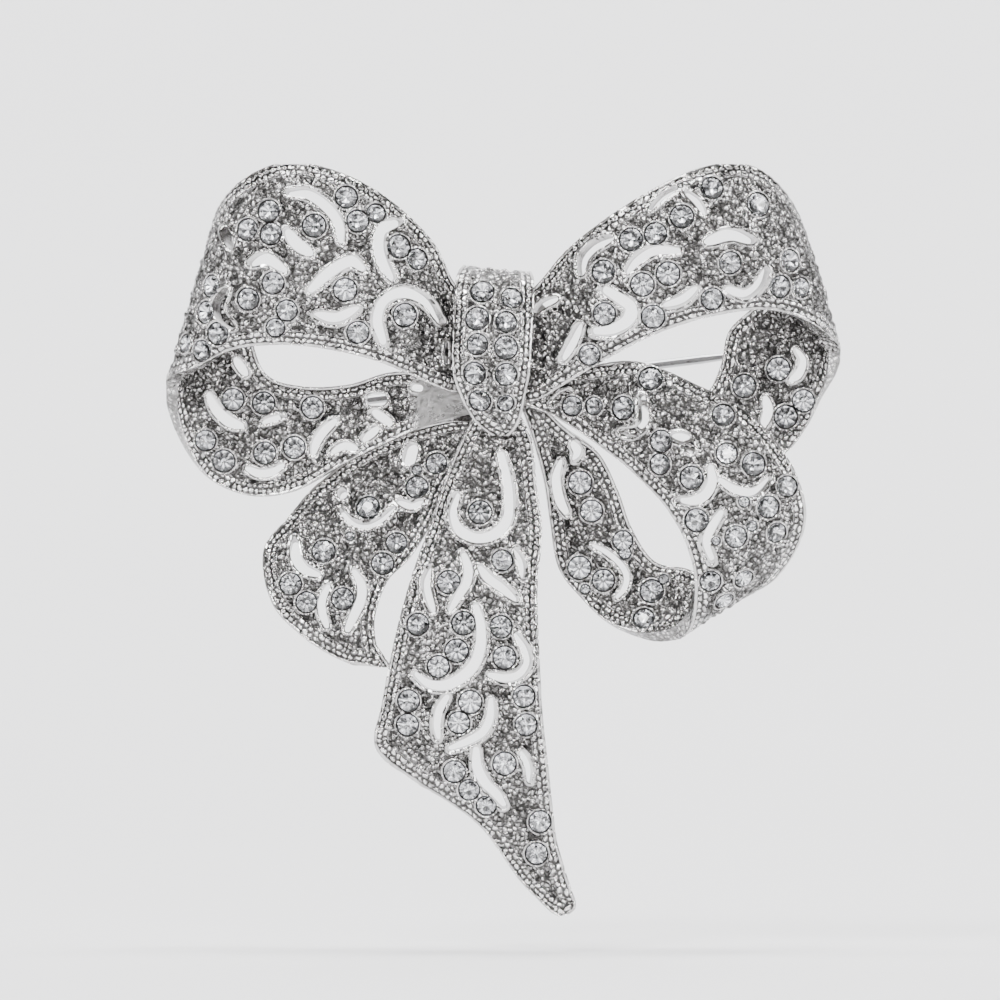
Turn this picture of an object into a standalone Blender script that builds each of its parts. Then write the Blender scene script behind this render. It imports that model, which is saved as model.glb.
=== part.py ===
"""Ribbon-bow brooch: five cast openwork ribbons soldered round a core, a knot band over
the crossing, round faceted stones in blind cups, and a hinged pin with a roll-over catch.

Sizes are millimetres, turned into metres by MM. +Z is up and the front of the bow faces -Y.
The tables are drawn from a datum inside the crossing. The finished piece has its origin
on the axis of the pin stem, straight behind the knot, where cloth holds the brooch.
"""

import math

import bmesh
import bpy
from mathutils import Matrix, Vector
from mathutils.bvhtree import BVHTree

for old_object in list(bpy.data.objects):
    bpy.data.objects.remove(old_object, do_unlink=True)

MM = 0.001

# Overall size of the bow. The rib tables below are drawn for the two DRAWN sizes.
BOW_WIDTH = 59.5
BOW_HEIGHT = 66.3
DRAWN_WIDTH = 59.5
DRAWN_HEIGHT = 66.3
X_SCALE = BOW_WIDTH / DRAWN_WIDTH
Z_SCALE = BOW_HEIGHT / DRAWN_HEIGHT

# Castings
METAL = 1.1
STEPS_PER_RIB = 2
CELLS_ACROSS = 5
SOLDER_GAP = 0.15
SHARP_ANGLE = math.radians(35.0)

# Solder core behind the knot, and the flat plate on its back. The core fills the
# space between the ribbon roots, so its sides follow the size of the bow.
CORE_LEFT = -2.4 * X_SCALE
CORE_RIGHT = 1.6 * X_SCALE
CORE_TOP = 4.9 * Z_SCALE
CORE_BOTTOM = -5.0 * Z_SCALE
CORE_FRONT = -5.55
CORE_BACK = 1.6
PLATE_LEFT = -5.0
PLATE_RIGHT = 4.2
PLATE_HALF_HEIGHT = 4.4
PLATE_FRONT = 1.95
PLATE_BACK = 2.95
PLATE_CORNER = 1.2

# Stones and the cups they sit in
STONE_RADIUS = 0.92
STONE_CROWN = 0.36
STONE_TABLE = 0.52
GIRDLE_HEIGHT = 0.12
CUP_CLEARANCE = 0.08
CUP_RADIUS = STONE_RADIUS + CUP_CLEARANCE
CUP_DEPTH = 0.72
STONE_SIDES = 8
CUP_SIDES = 12

# Pin stem: a straight round wire that lies in a plane behind the bow
PIN_SLOPE = 0.122
PIN_LEVEL = -2.85
PIN_AXIS_Y = 8.3
PIN_RADIUS = 0.4
PIN_TAPER = 7.0
PIN_TIP_RADIUS = 0.07
PIN_OVERRUN = 2.4
EYE_RADIUS = 1.05
EYE_HALF_WIDTH = 0.5

# Soldered findings on the backs of the two upper loops
PAD_FACE = 3.6
HINGE_PAD_RADIUS = 1.75
CATCH_PAD_RADIUS = 1.95
BASE_THICKNESS = 0.8
BASE_MARGIN = 0.15
HINGE_X = -18.0
CATCH_X = 22.3

RIVET_RADIUS = 0.4
RIVET_CLEARANCE = 0.06
RIVET_HEAD_RADIUS = 0.72
RIVET_HEAD = 0.34
EAR_CLEARANCE = 0.14
EAR_THICKNESS = 0.55
EAR_RADIUS = 1.15

CATCH_BORE = PIN_RADIUS + 0.26
CATCH_TUBE = 0.92
MOUTH_HALF = PIN_RADIUS + 0.12
ROTOR_CLEARANCE = 0.07
ROTOR_BORE = CATCH_TUBE + ROTOR_CLEARANCE
ROTOR_RADIUS = 1.52
ROTOR_HALF_WIDTH = 0.8
CHEEK_CLEARANCE = 0.1
CHEEK_THICKNESS = 0.45
CHEEK_HALF = 1.3
CHEEK_TOP = 0.55
LEVER_REACH = 3.1
LEVER_HALF_WIDTH = 0.55
LEVER_HALF_THICKNESS = 0.3
LEVER_REST = math.radians(-62.0)

# Each rib of a ribbon runs across it: (x, z) on one edge, (x, z) on the other, the depth y
# of the metal's mid surface at each edge, and how far the middle bulges outwards.
UPPER_LEFT_RIBS = (
    ((-2.6, 4.3), (-2.6, -3.6), -4.0, -4.0, 0.0),
    ((-4.4, 6.2), (-4.4, -3.6), -4.3, -4.3, 0.2),
    ((-6.3, 9.6), (-6.4, -2.8), -4.8, -4.8, 0.5),
    ((-10.1, 13.2), (-11.2, -0.7), -5.8, -5.4, 0.9),
    ((-14.4, 15.5), (-17.4, 0.5), -6.2, -5.8, 1.0),
    ((-18.8, 16.2), (-22.8, 0.2), -5.6, -5.2, 0.9),
    ((-22.5, 14.4), (-26.2, -1.5), -4.2, -3.9, 0.5),
    ((-24.7, 10.9), (-28.8, -3.0), -1.0, -1.0, 0.1),
    ((-24.3, 6.6), (-28.3, -7.0), 1.4, 1.2, 0.0),
    ((-22.3, 2.2), (-26.0, -10.9), 2.2, 2.2, 0.0),
    ((-20.7, -1.9), (-22.3, -12.7), 2.4, 2.3, 0.0),
    ((-17.6, -3.1), (-18.2, -12.4), 2.2, 2.1, 0.0),
    ((-13.4, -3.0), (-13.9, -10.1), 1.8, 1.7, 0.0),
    ((-9.5, -1.9), (-10.1, -8.2), 1.3, 1.2, 0.0),
    ((-5.7, -2.0), (-5.7, -5.6), 0.8, 0.8, 0.0),
    ((-2.6, -2.0), (-2.6, -4.7), 0.6, 0.6, 0.0),
)
UPPER_LEFT_FOLD = 7

UPPER_RIGHT_RIBS = (
    ((1.8, 4.2), (1.8, -4.6), -4.0, -4.0, 0.0),
    ((3.6, 5.9), (3.5, -4.3), -4.4, -4.4, 0.2),
    ((6.0, 8.6), (5.3, -3.2), -4.8, -4.8, 0.5),
    ((9.6, 11.4), (9.6, -0.5), -5.6, -5.6, 0.9),
    ((13.6, 13.9), (14.0, 1.7), -6.2, -6.2, 1.0),
    ((17.5, 15.7), (18.6, 3.1), -6.2, -6.2, 1.0),
    ((21.0, 16.1), (23.2, 3.6), -5.2, -5.2, 0.9),
    ((23.8, 14.4), (26.7, 2.5), -3.5, -3.5, 0.7),
    ((25.8, 11.2), (29.2, 0.2), -0.8, -0.8, 0.4),
    ((25.4, 7.7), (29.2, -1.9), 1.2, 1.0, 0.2),
    ((22.9, 4.4), (28.2, -4.2), 2.3, 2.1, 0.0),
    ((20.2, 1.8), (27.0, -6.7), 2.6, 2.5, 0.0),
    ((19.4, -1.4), (24.9, -9.1), 2.6, 2.6, 0.0),
    ((17.9, -3.9), (21.4, -9.7), 2.4, 2.4, 0.0),
    ((14.4, -4.4), (16.6, -8.8), 2.2, 2.2, 0.0),
    ((8.8, -3.9), (9.6, -7.0), 1.6, 1.6, 0.0),
    ((1.8, -2.4), (1.8, -4.5), 1.1, 1.1, 0.0),
)
UPPER_RIGHT_FOLD = 8

LOWER_RIGHT_RIBS = (
    ((1.8, -2.2), (1.8, -4.7), -1.9, -1.9, 0.0),
    ((4.6, -1.8), (4.9, -5.9), -2.1, -2.1, 0.0),
    ((7.9, -1.4), (8.3, -7.9), -2.7, -2.7, 0.2),
    ((12.3, -1.2), (11.6, -10.3), -3.9, -3.8, 0.7),
    ((17.1, -3.2), (14.4, -13.2), -4.8, -4.8, 0.9),
    ((21.4, -5.5), (16.1, -16.0), -5.2, -5.2, 1.0),
    ((24.9, -9.4), (17.0, -19.1), -5.0, -5.0, 0.9),
    ((26.5, -13.6), (16.9, -21.9), -4.2, -4.2, 0.6),
    ((25.7, -17.0), (16.3, -23.9), -2.8, -2.8, 0.3),
    ((23.3, -20.0), (15.2, -24.9), -0.6, -0.6, 0.0),
    ((20.0, -20.8), (12.7, -25.1), 1.2, 1.2, 0.0),
    ((16.6, -19.3), (9.6, -24.0), 2.2, 2.2, 0.0),
    ((13.6, -18.5), (7.0, -21.6), 2.4, 2.4, 0.0),
    ((11.6, -15.6), (5.1, -19.0), 2.2, 2.2, 0.0),
    ((10.3, -12.1), (4.4, -15.1), 1.8, 1.8, 0.0),
    ((8.6, -8.9), (3.9, -11.7), 1.3, 1.3, 0.0),
    ((5.9, -6.9), (3.1, -8.6), 0.5, 0.5, 0.0),
    ((3.8, -5.0), (2.4, -6.4), -0.1, -0.1, 0.0),
    ((1.8, -3.6), (1.8, -4.8), -0.3, -0.3, 0.0),
)
LOWER_RIGHT_FOLD = 9

LOWER_LEFT_RIBS = (
    ((-2.2, -5.65), (1.2, -5.65), 0.7, 0.7, 0.0),
    ((-5.0, -6.1), (-1.2, -8.0), 1.7, 1.2, 0.0),
    ((-8.8, -7.4), (-4.3, -11.4), 2.8, 1.4, 0.2),
    ((-12.3, -9.2), (-6.0, -15.2), 3.5, 1.0, 0.5),
    ((-16.2, -12.2), (-7.9, -18.2), 3.4, 0.6, 0.6),
    ((-18.6, -15.0), (-9.9, -20.3), 2.2, 0.3, 0.6),
    ((-20.7, -17.7), (-11.0, -23.2), 1.0, 0.1, 0.5),
    ((-20.0, -22.0), (-11.0, -25.4), 0.4, 0.0, 0.4),
    ((-17.6, -24.7), (-10.6, -26.4), 0.1, 0.0, 0.3),
    ((-14.3, -26.9), (-10.0, -27.2), 0.0, 0.0, 0.1),
    ((-12.0, -27.5), (-9.5, -27.8), 0.0, 0.0, 0.0),
)

CENTRE_TAIL_RIBS = (
    ((-1.9, -5.2), (1.5, -5.2), -3.3, -3.3, 0.0),
    ((-3.3, -7.9), (2.7, -7.9), -3.2, -3.2, 0.3),
    ((-4.7, -11.4), (3.0, -11.4), -2.9, -2.9, 0.6),
    ((-6.1, -15.8), (3.5, -15.8), -2.8, -2.8, 0.8),
    ((-7.6, -20.0), (3.1, -21.0), -3.3, -3.3, 0.9),
    ((-9.0, -25.0), (3.3, -26.7), -3.6, -3.6, 0.9),
    ((-10.2, -30.9), (3.6, -31.9), -3.3, -3.3, 0.9),
    ((-10.8, -34.6), (4.1, -36.3), -3.0, -3.0, 0.8),
    ((-8.0, -36.9), (4.5, -40.0), -2.7, -2.7, 0.7),
    ((-4.5, -39.0), (4.9, -43.0), -2.4, -2.4, 0.5),
    ((-1.5, -41.6), (5.6, -45.4), -2.2, -2.2, 0.3),
    ((1.5, -46.0), (6.3, -47.4), -2.0, -2.0, 0.1),
    ((4.6, -49.7), (6.6, -49.0), -1.9, -1.9, 0.0),
)

KNOT_RIBS = (
    ((-3.0, 6.3), (2.5, 5.9), -1.5, -1.5, 0.0),
    ((-3.3, 6.8), (2.7, 6.2), -3.8, -3.8, 0.1),
    ((-3.8, 5.4), (2.8, 5.0), -5.9, -5.9, 0.5),
    ((-3.8, 1.6), (2.5, 1.3), -6.6, -6.6, 1.0),
    ((-3.8, -1.8), (2.3, -1.8), -6.8, -6.8, 1.0),
    ((-3.1, -4.0), (1.9, -4.0), -6.4, -6.4, 0.8),
    ((-2.1, -5.8), (1.5, -6.0), -5.9, -5.9, 0.4),
    ((-0.7, -7.0), (0.7, -7.2), -5.4, -5.4, 0.1),
)

# Pierced slots: centre line points (x, z) and the width of the opening.
UPPER_LEFT_SLOTS = (
    (((-18.3, 13.6), (-16.7, 13.5), (-15.1, 12.4), (-14.1, 11.0), (-13.9, 9.5)), 0.9),
    (((-18.5, 10.1), (-17.7, 9.2), (-16.6, 8.4)), 1.0),
    (((-21.6, 7.5), (-20.3, 7.8), (-18.7, 6.9)), 0.9),
    (((-16.4, 5.4), (-14.9, 6.7), (-13.1, 7.7), (-12.0, 7.1)), 0.9),
    (((-15.8, 3.1), (-14.3, 2.9), (-12.6, 3.6)), 0.9),
    (((-9.1, 11.0), (-10.3, 10.5), (-10.6, 9.0), (-10.2, 7.5), (-9.5, 6.4)), 1.0),
    (((-10.2, 0.8), (-10.7, 2.6), (-10.1, 4.3), (-8.4, 5.0), (-6.6, 4.2), (-5.4, 2.5)), 0.9),
    (((-23.8, 5.0), (-24.3, 3.9), (-24.1, 2.9), (-23.4, 2.2)), 0.8),
)
UPPER_LEFT_RETURN_SLOTS = (
    (((-25.4, -3.9), (-24.8, -5.2), (-23.9, -6.2), (-22.9, -6.5)), 0.9),
    (((-22.0, -10.3), (-21.2, -10.8), (-20.1, -10.7), (-19.1, -10.1)), 0.7),
    (((-16.4, -9.0), (-16.1, -8.0), (-15.4, -7.0), (-14.5, -6.2)), 0.8),
    (((-11.4, -4.3), (-10.4, -4.3)), 1.0),
)
UPPER_RIGHT_SLOTS = (
    (((9.6, 9.5), (8.3, 8.8), (7.5, 7.9), (7.3, 6.9)), 0.9),
    (((16.5, 13.3), (17.2, 12.7), (17.7, 11.9)), 0.6),
    (((11.3, 6.9), (12.1, 7.8), (13.5, 8.6), (15.3, 8.5)), 0.8),
    (((18.3, 9.5), (20.0, 10.0), (21.6, 9.5)), 0.9),
    (((9.3, 5.2), (10.4, 4.5), (11.4, 3.7), (11.2, 2.7), (9.9, 1.8), (8.6, 1.5)), 1.0),
    (((14.7, 3.9), (15.9, 4.4), (16.9, 5.2)), 0.8),
    (((20.0, 5.2), (21.3, 4.9), (22.4, 5.7), (23.0, 6.8)), 0.8),
    (((7.0, 1.7), (6.3, 0.4), (5.7, -0.6)), 0.7),
)
UPPER_RIGHT_RETURN_SLOTS = (
    (((26.2, -0.2), (26.6, -1.0), (26.1, -2.1)), 0.7),
    (((23.4, -4.3), (23.6, -5.3), (23.2, -6.4)), 0.8),
)
LOWER_RIGHT_SLOTS = (
    (((12.6, -4.3), (12.7, -5.4), (12.5, -6.5), (11.6, -7.3)), 0.8),
    (((15.3, -7.7), (16.2, -7.9), (16.7, -8.7)), 0.9),
    (((18.4, -10.4), (18.5, -11.6), (17.8, -12.7), (16.2, -13.1)), 0.8),
    (((20.0, -11.9), (21.4, -12.4), (22.6, -12.1), (23.3, -11.4)), 0.6),
    (((19.1, -14.3), (18.4, -15.6), (18.0, -16.8), (18.5, -18.2)), 0.7),
)
LOWER_RIGHT_RETURN_SLOTS = (
    (((8.3, -17.1), (9.6, -17.9), (10.8, -19.0), (11.1, -20.2), (10.5, -21.4)), 0.5),
    (((5.3, -9.9), (4.9, -11.2), (5.2, -13.0), (5.8, -14.2)), 0.8),
)
LOWER_LEFT_SLOTS = (
    (((-18.0, -17.0), (-17.9, -18.2), (-17.2, -19.2), (-16.1, -19.7)), 0.9),
    (((-13.8, -14.3), (-13.0, -15.2), (-11.8, -15.5), (-10.5, -15.0)), 0.65),
    (((-12.8, -19.5), (-12.2, -20.6), (-12.2, -21.8), (-12.8, -23.2)), 0.8),
    (((-15.1, -20.7), (-15.6, -21.9), (-15.5, -23.0)), 0.7),
    (((-8.9, -13.3), (-7.8, -13.7), (-6.7, -13.1)), 0.7),
)
CENTRE_TAIL_SLOTS = (
    (((-3.7, -12.8), (-4.1, -14.3), (-3.5, -15.8), (-2.0, -16.5), (-0.4, -16.1),
      (0.6, -14.9), (0.8, -13.2), (0.6, -11.2), (0.1, -9.2)), 0.9),
    (((-6.1, -19.2), (-6.4, -20.4), (-6.2, -21.6), (-5.8, -22.8)), 0.8),
    (((-3.1, -17.9), (-2.8, -19.1), (-2.9, -20.3), (-3.6, -21.5), (-4.3, -22.5)), 0.8),
    (((-1.7, -19.1), (-1.0, -20.0), (0.1, -20.8), (1.3, -21.6)), 0.9),
    (((-2.0, -22.8), (-1.7, -24.0), (-1.7, -25.8), (-2.2, -27.4), (-3.3, -28.6),
      (-4.7, -29.3), (-6.2, -29.2), (-7.3, -28.4)), 0.8),
    (((1.4, -25.0), (2.0, -26.2), (2.1, -27.4), (1.6, -28.4), (0.4, -28.7), (-0.9, -28.4)), 0.7),
    (((-4.8, -30.7), (-5.3, -31.7), (-5.5, -32.8), (-5.4, -33.9)), 0.7),
    (((-0.8, -30.6), (-0.9, -32.2), (-1.5, -33.4), (-2.8, -34.2), (-4.1, -34.7)), 0.8),
    (((-2.1, -35.9), (-1.7, -37.1), (-0.9, -38.2), (-0.1, -39.3)), 0.8),
    (((1.8, -35.2), (2.4, -36.4), (2.5, -37.7)), 0.6),
)

# Stone centres (x, z) as seen from the front.
UPPER_LEFT_STONES = (
    (-20.2, 12.1), (-16.2, 10.8), (-12.4, 11.3), (-8.6, 8.6), (-13.5, 5.2),
    (-8.3, 3.0), (-12.4, 1.5), (-19.9, 5.7), (-22.2, 4.2),
)
UPPER_LEFT_RETURN_STONES = (
    (-16.5, -5.4), (-18.1, -8.5), (-20.7, -8.9), (-24.3, -9.3),
)
UPPER_RIGHT_STONES = (
    (18.6, 14.0), (22.6, 12.7), (15.8, 11.5), (11.3, 9.5), (9.0, 6.8),
    (14.7, 6.5), (20.1, 7.5), (13.4, 2.9),
)
UPPER_RIGHT_RETURN_STONES = (
    (24.4, -1.6), (21.5, -3.1),
)
LOWER_RIGHT_STONES = (
    (13.7, -2.7), (10.6, -5.1), (19.5, -5.9), (22.1, -9.9), (16.7, -11.1),
    (23.6, -13.7), (20.6, -16.3), (18.4, -20.3),
)
LOWER_RIGHT_RETURN_STONES = (
    (7.2, -11.6), (8.0, -14.0), (9.0, -20.2),
)
LOWER_LEFT_STONES = (
    (-15.5, -17.5), (-10.2, -18.5), (-17.6, -21.9),
)
CENTRE_TAIL_STONES = (
    (-1.7, -14.0), (-4.5, -20.0), (-7.2, -24.4), (0.1, -24.2), (-8.1, -32.4), (2.1, -30.6),
)
KNOT_STONES = (
    (-1.9, 2.8), (0.6, 0.2), (-1.8, -4.0),
)


# Shared geometry

FRAME_SHIFT = Vector((0.0, -PIN_AXIS_Y, -PIN_LEVEL * Z_SCALE))


def add_object(name, mesh, place=Vector((0.0, 0.0, 0.0))):
    """Link a mesh into the scene as a named object whose own zero is a drawn place."""
    item = bpy.data.objects.new(name, mesh)
    bpy.context.scene.collection.objects.link(item)
    item.location = (place + FRAME_SHIFT) * MM
    return item


def mesh_from(name, points, faces):
    """Closed mesh from millimetre points, with its normals turned outward."""
    work = bmesh.new()
    verts = [work.verts.new(Vector(point) * MM) for point in points]
    for face in faces:
        work.faces.new([verts[index] for index in face])
    bmesh.ops.recalc_face_normals(work, faces=work.faces)
    mesh = bpy.data.meshes.new(name)
    work.to_mesh(mesh)
    work.free()
    mesh.shade_smooth()
    mesh.set_sharp_from_angle(angle=SHARP_ANGLE)
    return mesh


def smooth_value(table, where):
    """Catmull-Rom value of a list of vectors at a fractional index."""
    last = len(table) - 1
    index = min(int(where), last - 1)
    t = where - index
    p1 = table[index]
    p2 = table[index + 1]
    p0 = table[index - 1] if index > 0 else p1 * 2 - p2
    p3 = table[index + 2] if index + 2 <= last else p2 * 2 - p1
    return (p1 * 2 + (p2 - p0) * t + (p0 * 2 - p1 * 5 + p2 * 4 - p3) * t * t
            + (p1 * 3 - p0 - p2 * 3 + p3) * t * t * t) * 0.5


def ribbon_grid(ribs):
    """Rows of (point, outward direction) over the mid surface of a ribbon, in millimetres."""
    edge_a = [Vector((a[0] * X_SCALE, ya, a[1] * Z_SCALE)) for a, b, ya, yb, bulge in ribs]
    edge_b = [Vector((b[0] * X_SCALE, yb, b[1] * Z_SCALE)) for a, b, ya, yb, bulge in ribs]
    bulges = [Vector((bulge, 0.0, 0.0)) for a, b, ya, yb, bulge in ribs]
    rows = (len(ribs) - 1) * STEPS_PER_RIB
    flat = []
    for row in range(rows + 1):
        where = row / STEPS_PER_RIB
        a = smooth_value(edge_a, where)
        b = smooth_value(edge_b, where)
        flat.append([a.lerp(b, cell / CELLS_ACROSS) for cell in range(CELLS_ACROSS + 1)])
    grid = []
    for row in range(rows + 1):
        before = flat[max(row - 1, 0)]
        after = flat[min(row + 1, rows)]
        bulge = smooth_value(bulges, row / STEPS_PER_RIB).x
        line = []
        for cell in range(CELLS_ACROSS + 1):
            along = after[cell] - before[cell]
            across = flat[row][-1] - flat[row][0]
            out = along.cross(across).normalized()
            share = cell / CELLS_ACROSS
            lift = bulge * 4.0 * share * (1.0 - share)
            line.append((flat[row][cell] + out * lift, out))
        grid.append(line)
    middle = grid[len(grid) // 4][CELLS_ACROSS // 2][1]
    if middle.y > 0:
        grid = [[(point, -out) for point, out in line] for line in grid]
        for row, line in enumerate(grid):
            bulge = smooth_value(bulges, row / STEPS_PER_RIB).x
            for cell, (point, out) in enumerate(line):
                share = cell / CELLS_ACROSS
                line[cell] = (point + out * bulge * 8.0 * share * (1.0 - share), out)
    return grid


def sheet_mesh(name, grid):
    """Ribbon of constant metal thickness round a grid of mid surface points."""
    rows = len(grid)
    columns = CELLS_ACROSS + 1
    points = []
    for side in (0.5, -0.5):
        for line in grid:
            points += [point + out * METAL * side for point, out in line]
    back = rows * columns
    faces = []
    for row in range(rows - 1):
        for cell in range(CELLS_ACROSS):
            first = row * columns + cell
            quad = [first, first + 1, first + columns + 1, first + columns]
            faces.append(quad)
            faces.append([index + back for index in reversed(quad)])
    for row in range(rows - 1):
        for cell in (0, CELLS_ACROSS):
            first = row * columns + cell
            faces.append([first, first + columns, first + columns + back, first + back])
    for cell in range(CELLS_ACROSS):
        for row in (0, rows - 1):
            first = row * columns + cell
            faces.append([first, first + 1, first + 1 + back, first + back])
    return mesh_from(name, points, faces)


def sheet_rays(grid, first_row, last_row):
    """Ray tree over one sheet of a ribbon, both faces, for placing cups and slots."""
    points = []
    faces = []
    for side in (0.5, -0.5):
        for row in range(first_row, last_row):
            for cell in range(CELLS_ACROSS):
                quad = [grid[row][cell], grid[row][cell + 1],
                        grid[row + 1][cell + 1], grid[row + 1][cell]]
                start = len(points)
                points += [point + out * METAL * side for point, out in quad]
                faces.append([start, start + 1, start + 2, start + 3])
    return BVHTree.FromPolygons(points, faces)


def front_hit(rays, x, z):
    """Point and facing direction where a line of sight from the front meets a sheet."""
    place, out, face, distance = rays.ray_cast(Vector((x, -40.0, z)), Vector((0.0, 1.0, 0.0)))
    if place is None:
        place, out, face, distance = rays.find_nearest(Vector((x, -6.0, z)))
    if out.y > 0:
        out = -out
    return place, out


def slot_outline(line, width):
    """Rounded outline of a slot round its centre line."""
    line = [Vector((x * X_SCALE, z * Z_SCALE)) for x, z in line]
    left = []
    right = []
    for index, point in enumerate(line):
        along = (line[min(index + 1, len(line) - 1)] - line[max(index - 1, 0)]).normalized()
        side = Vector((-along.y, along.x)) * width / 2
        left.append(point + side)
        right.append(point - side)
    start = (line[0] - line[1]).normalized() * width / 2
    end = (line[-1] - line[-2]).normalized() * width / 2
    return left + [line[-1] + end] + right[::-1] + [line[0] + start]


def prism(points, faces, outline, low, high):
    """Add a straight prism along Y to a list of points and faces."""
    count = len(outline)
    start = len(points)
    points += [(corner.x, low, corner.y) for corner in outline]
    points += [(corner.x, high, corner.y) for corner in outline]
    faces.append([start + index for index in range(count)])
    faces.append([start + count + index for index in reversed(range(count))])
    for index in range(count):
        after = (index + 1) % count
        faces.append([start + index, start + count + index,
                      start + count + after, start + after])


def disc_rings(place, out, rings, sides, turn=0.0):
    """Points of stacked rings (radius, height) round an axis through a place."""
    side = out.cross(Vector((0.0, 0.0, 1.0))).normalized()
    up = side.cross(out)
    points = []
    for radius, height in rings:
        for index in range(sides):
            angle = 2 * math.pi * (index + turn) / sides
            points.append(place + out * height + side * radius * math.cos(angle)
                          + up * radius * math.sin(angle))
    return points


def ring_faces(start, rings, sides):
    """Faces of a closed stack of rings whose points begin at a start index."""
    faces = [[start + index for index in range(sides)],
             [start + (rings - 1) * sides + index for index in range(sides)]]
    for ring in range(rings - 1):
        for index in range(sides):
            after = (index + 1) % sides
            low = start + ring * sides
            faces.append([low + index, low + after, low + sides + after, low + sides + index])
    return faces


def cut(target, cutter, label, operation="DIFFERENCE"):
    """Boolean modifier with its tool hidden."""
    cutter.hide_render = True
    cutter.display_type = "WIRE"
    step = target.modifiers.new(label, "BOOLEAN")
    step.operation = operation
    step.solver = "EXACT"
    step.object = cutter


def material(name, colour, roughness, metallic):
    """Principled material."""
    made = bpy.data.materials.new(name)
    made.use_nodes = True
    shader = made.node_tree.nodes["Principled BSDF"]
    shader.inputs["Base Color"].default_value = (*colour, 1.0)
    shader.inputs["Roughness"].default_value = roughness
    shader.inputs["Metallic"].default_value = metallic
    return made


CASTING_COLOUR = (0.72, 0.72, 0.74)
FINDING_COLOUR = (0.80, 0.80, 0.80)
STONE_COLOUR = (0.90, 0.93, 0.96)
stone_count = 0


def slots_cutter(owner, sheets):
    """One tool holding every slot prism of a ribbon."""
    points = []
    faces = []
    for slots, rays in sheets:
        for line, width in slots:
            depths = [front_hit(rays, x * X_SCALE, z * Z_SCALE)[0].y for x, z in line]
            prism(points, faces, slot_outline(line, width),
                  min(depths) - METAL, max(depths) + 2.2 * METAL)
    return add_object(owner + "_slot_tool", mesh_from(owner + "_slot_tool", points, faces))


def set_stones(owner, sheets):
    """Cut the cups of a casting and drop one faceted stone in each."""
    global stone_count
    points = []
    faces = []
    for stones, rays in sheets:
        for x, z in stones:
            place, out = front_hit(rays, x * X_SCALE, z * Z_SCALE)
            start = len(points)
            points += disc_rings(place, out, ((CUP_RADIUS, -CUP_DEPTH), (CUP_RADIUS, 0.5)),
                                 CUP_SIDES)
            faces += ring_faces(start, 2, CUP_SIDES)
            stone_count += 1
            name = "stone_%02d" % stone_count
            rings = ((0.12, CUP_CLEARANCE - CUP_DEPTH), (STONE_RADIUS, -GIRDLE_HEIGHT),
                     (STONE_RADIUS, 0.0), (STONE_TABLE, STONE_CROWN))
            here = [point - place for point in
                    disc_rings(place, out, rings, STONE_SIDES, turn=0.5)]
            stone = add_object(name, mesh_from(name, here, ring_faces(0, 4, STONE_SIDES)),
                               place)
            stone.data.materials.append(material(name, STONE_COLOUR, 0.03, 0.0))
    return add_object(owner + "_cup_tool", mesh_from(owner + "_cup_tool", points, faces))


def ribbon(name, ribs, fold, front_slots, return_slots, front_stones, return_stones):
    """Cast ribbon with its slots pierced and its cups cut."""
    grid = ribbon_grid(ribs)
    item = add_object(name, sheet_mesh(name, grid))
    last = len(grid) - 1
    turn = fold * STEPS_PER_RIB if fold else last
    front = sheet_rays(grid, 0, turn)
    slot_sheets = [(front_slots, front)]
    stone_sheets = [(front_stones, front)]
    if fold:
        back = sheet_rays(grid, turn, last)
        slot_sheets.append((return_slots, back))
        stone_sheets.append((return_stones, back))
    if front_slots:
        cut(item, slots_cutter(name, slot_sheets), "slots")
    cut(item, set_stones(name, stone_sheets), "cups")
    item.data.materials.append(material(name, CASTING_COLOUR, 0.22, 1.0))
    return item


# Castings

upper_left_loop = ribbon(
    "upper_left_loop", UPPER_LEFT_RIBS, UPPER_LEFT_FOLD, UPPER_LEFT_SLOTS,
    UPPER_LEFT_RETURN_SLOTS, UPPER_LEFT_STONES, UPPER_LEFT_RETURN_STONES)
upper_right_loop = ribbon(
    "upper_right_loop", UPPER_RIGHT_RIBS, UPPER_RIGHT_FOLD, UPPER_RIGHT_SLOTS,
    UPPER_RIGHT_RETURN_SLOTS, UPPER_RIGHT_STONES, UPPER_RIGHT_RETURN_STONES)
lower_right_loop = ribbon(
    "lower_right_loop", LOWER_RIGHT_RIBS, LOWER_RIGHT_FOLD, LOWER_RIGHT_SLOTS,
    LOWER_RIGHT_RETURN_SLOTS, LOWER_RIGHT_STONES, LOWER_RIGHT_RETURN_STONES)
lower_left_tail = ribbon(
    "lower_left_tail", LOWER_LEFT_RIBS, 0, LOWER_LEFT_SLOTS, (), LOWER_LEFT_STONES, ())
centre_tail = ribbon(
    "centre_tail", CENTRE_TAIL_RIBS, 0, CENTRE_TAIL_SLOTS, (), CENTRE_TAIL_STONES, ())
knot_band = ribbon("knot_band", KNOT_RIBS, 0, (), (), KNOT_STONES, ())


def box(name, low, high):
    """Block between two corners in millimetres."""
    corners = [(x, y, z) for x in (low[0], high[0]) for y in (low[1], high[1])
               for z in (low[2], high[2])]
    faces = [[0, 1, 3, 2], [4, 6, 7, 5], [0, 4, 5, 1], [2, 3, 7, 6], [0, 2, 6, 4],
             [1, 5, 7, 3]]
    return mesh_from(name, corners, faces)


# Solder core: the block every ribbon root is soldered to, with the flat plate behind it

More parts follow.
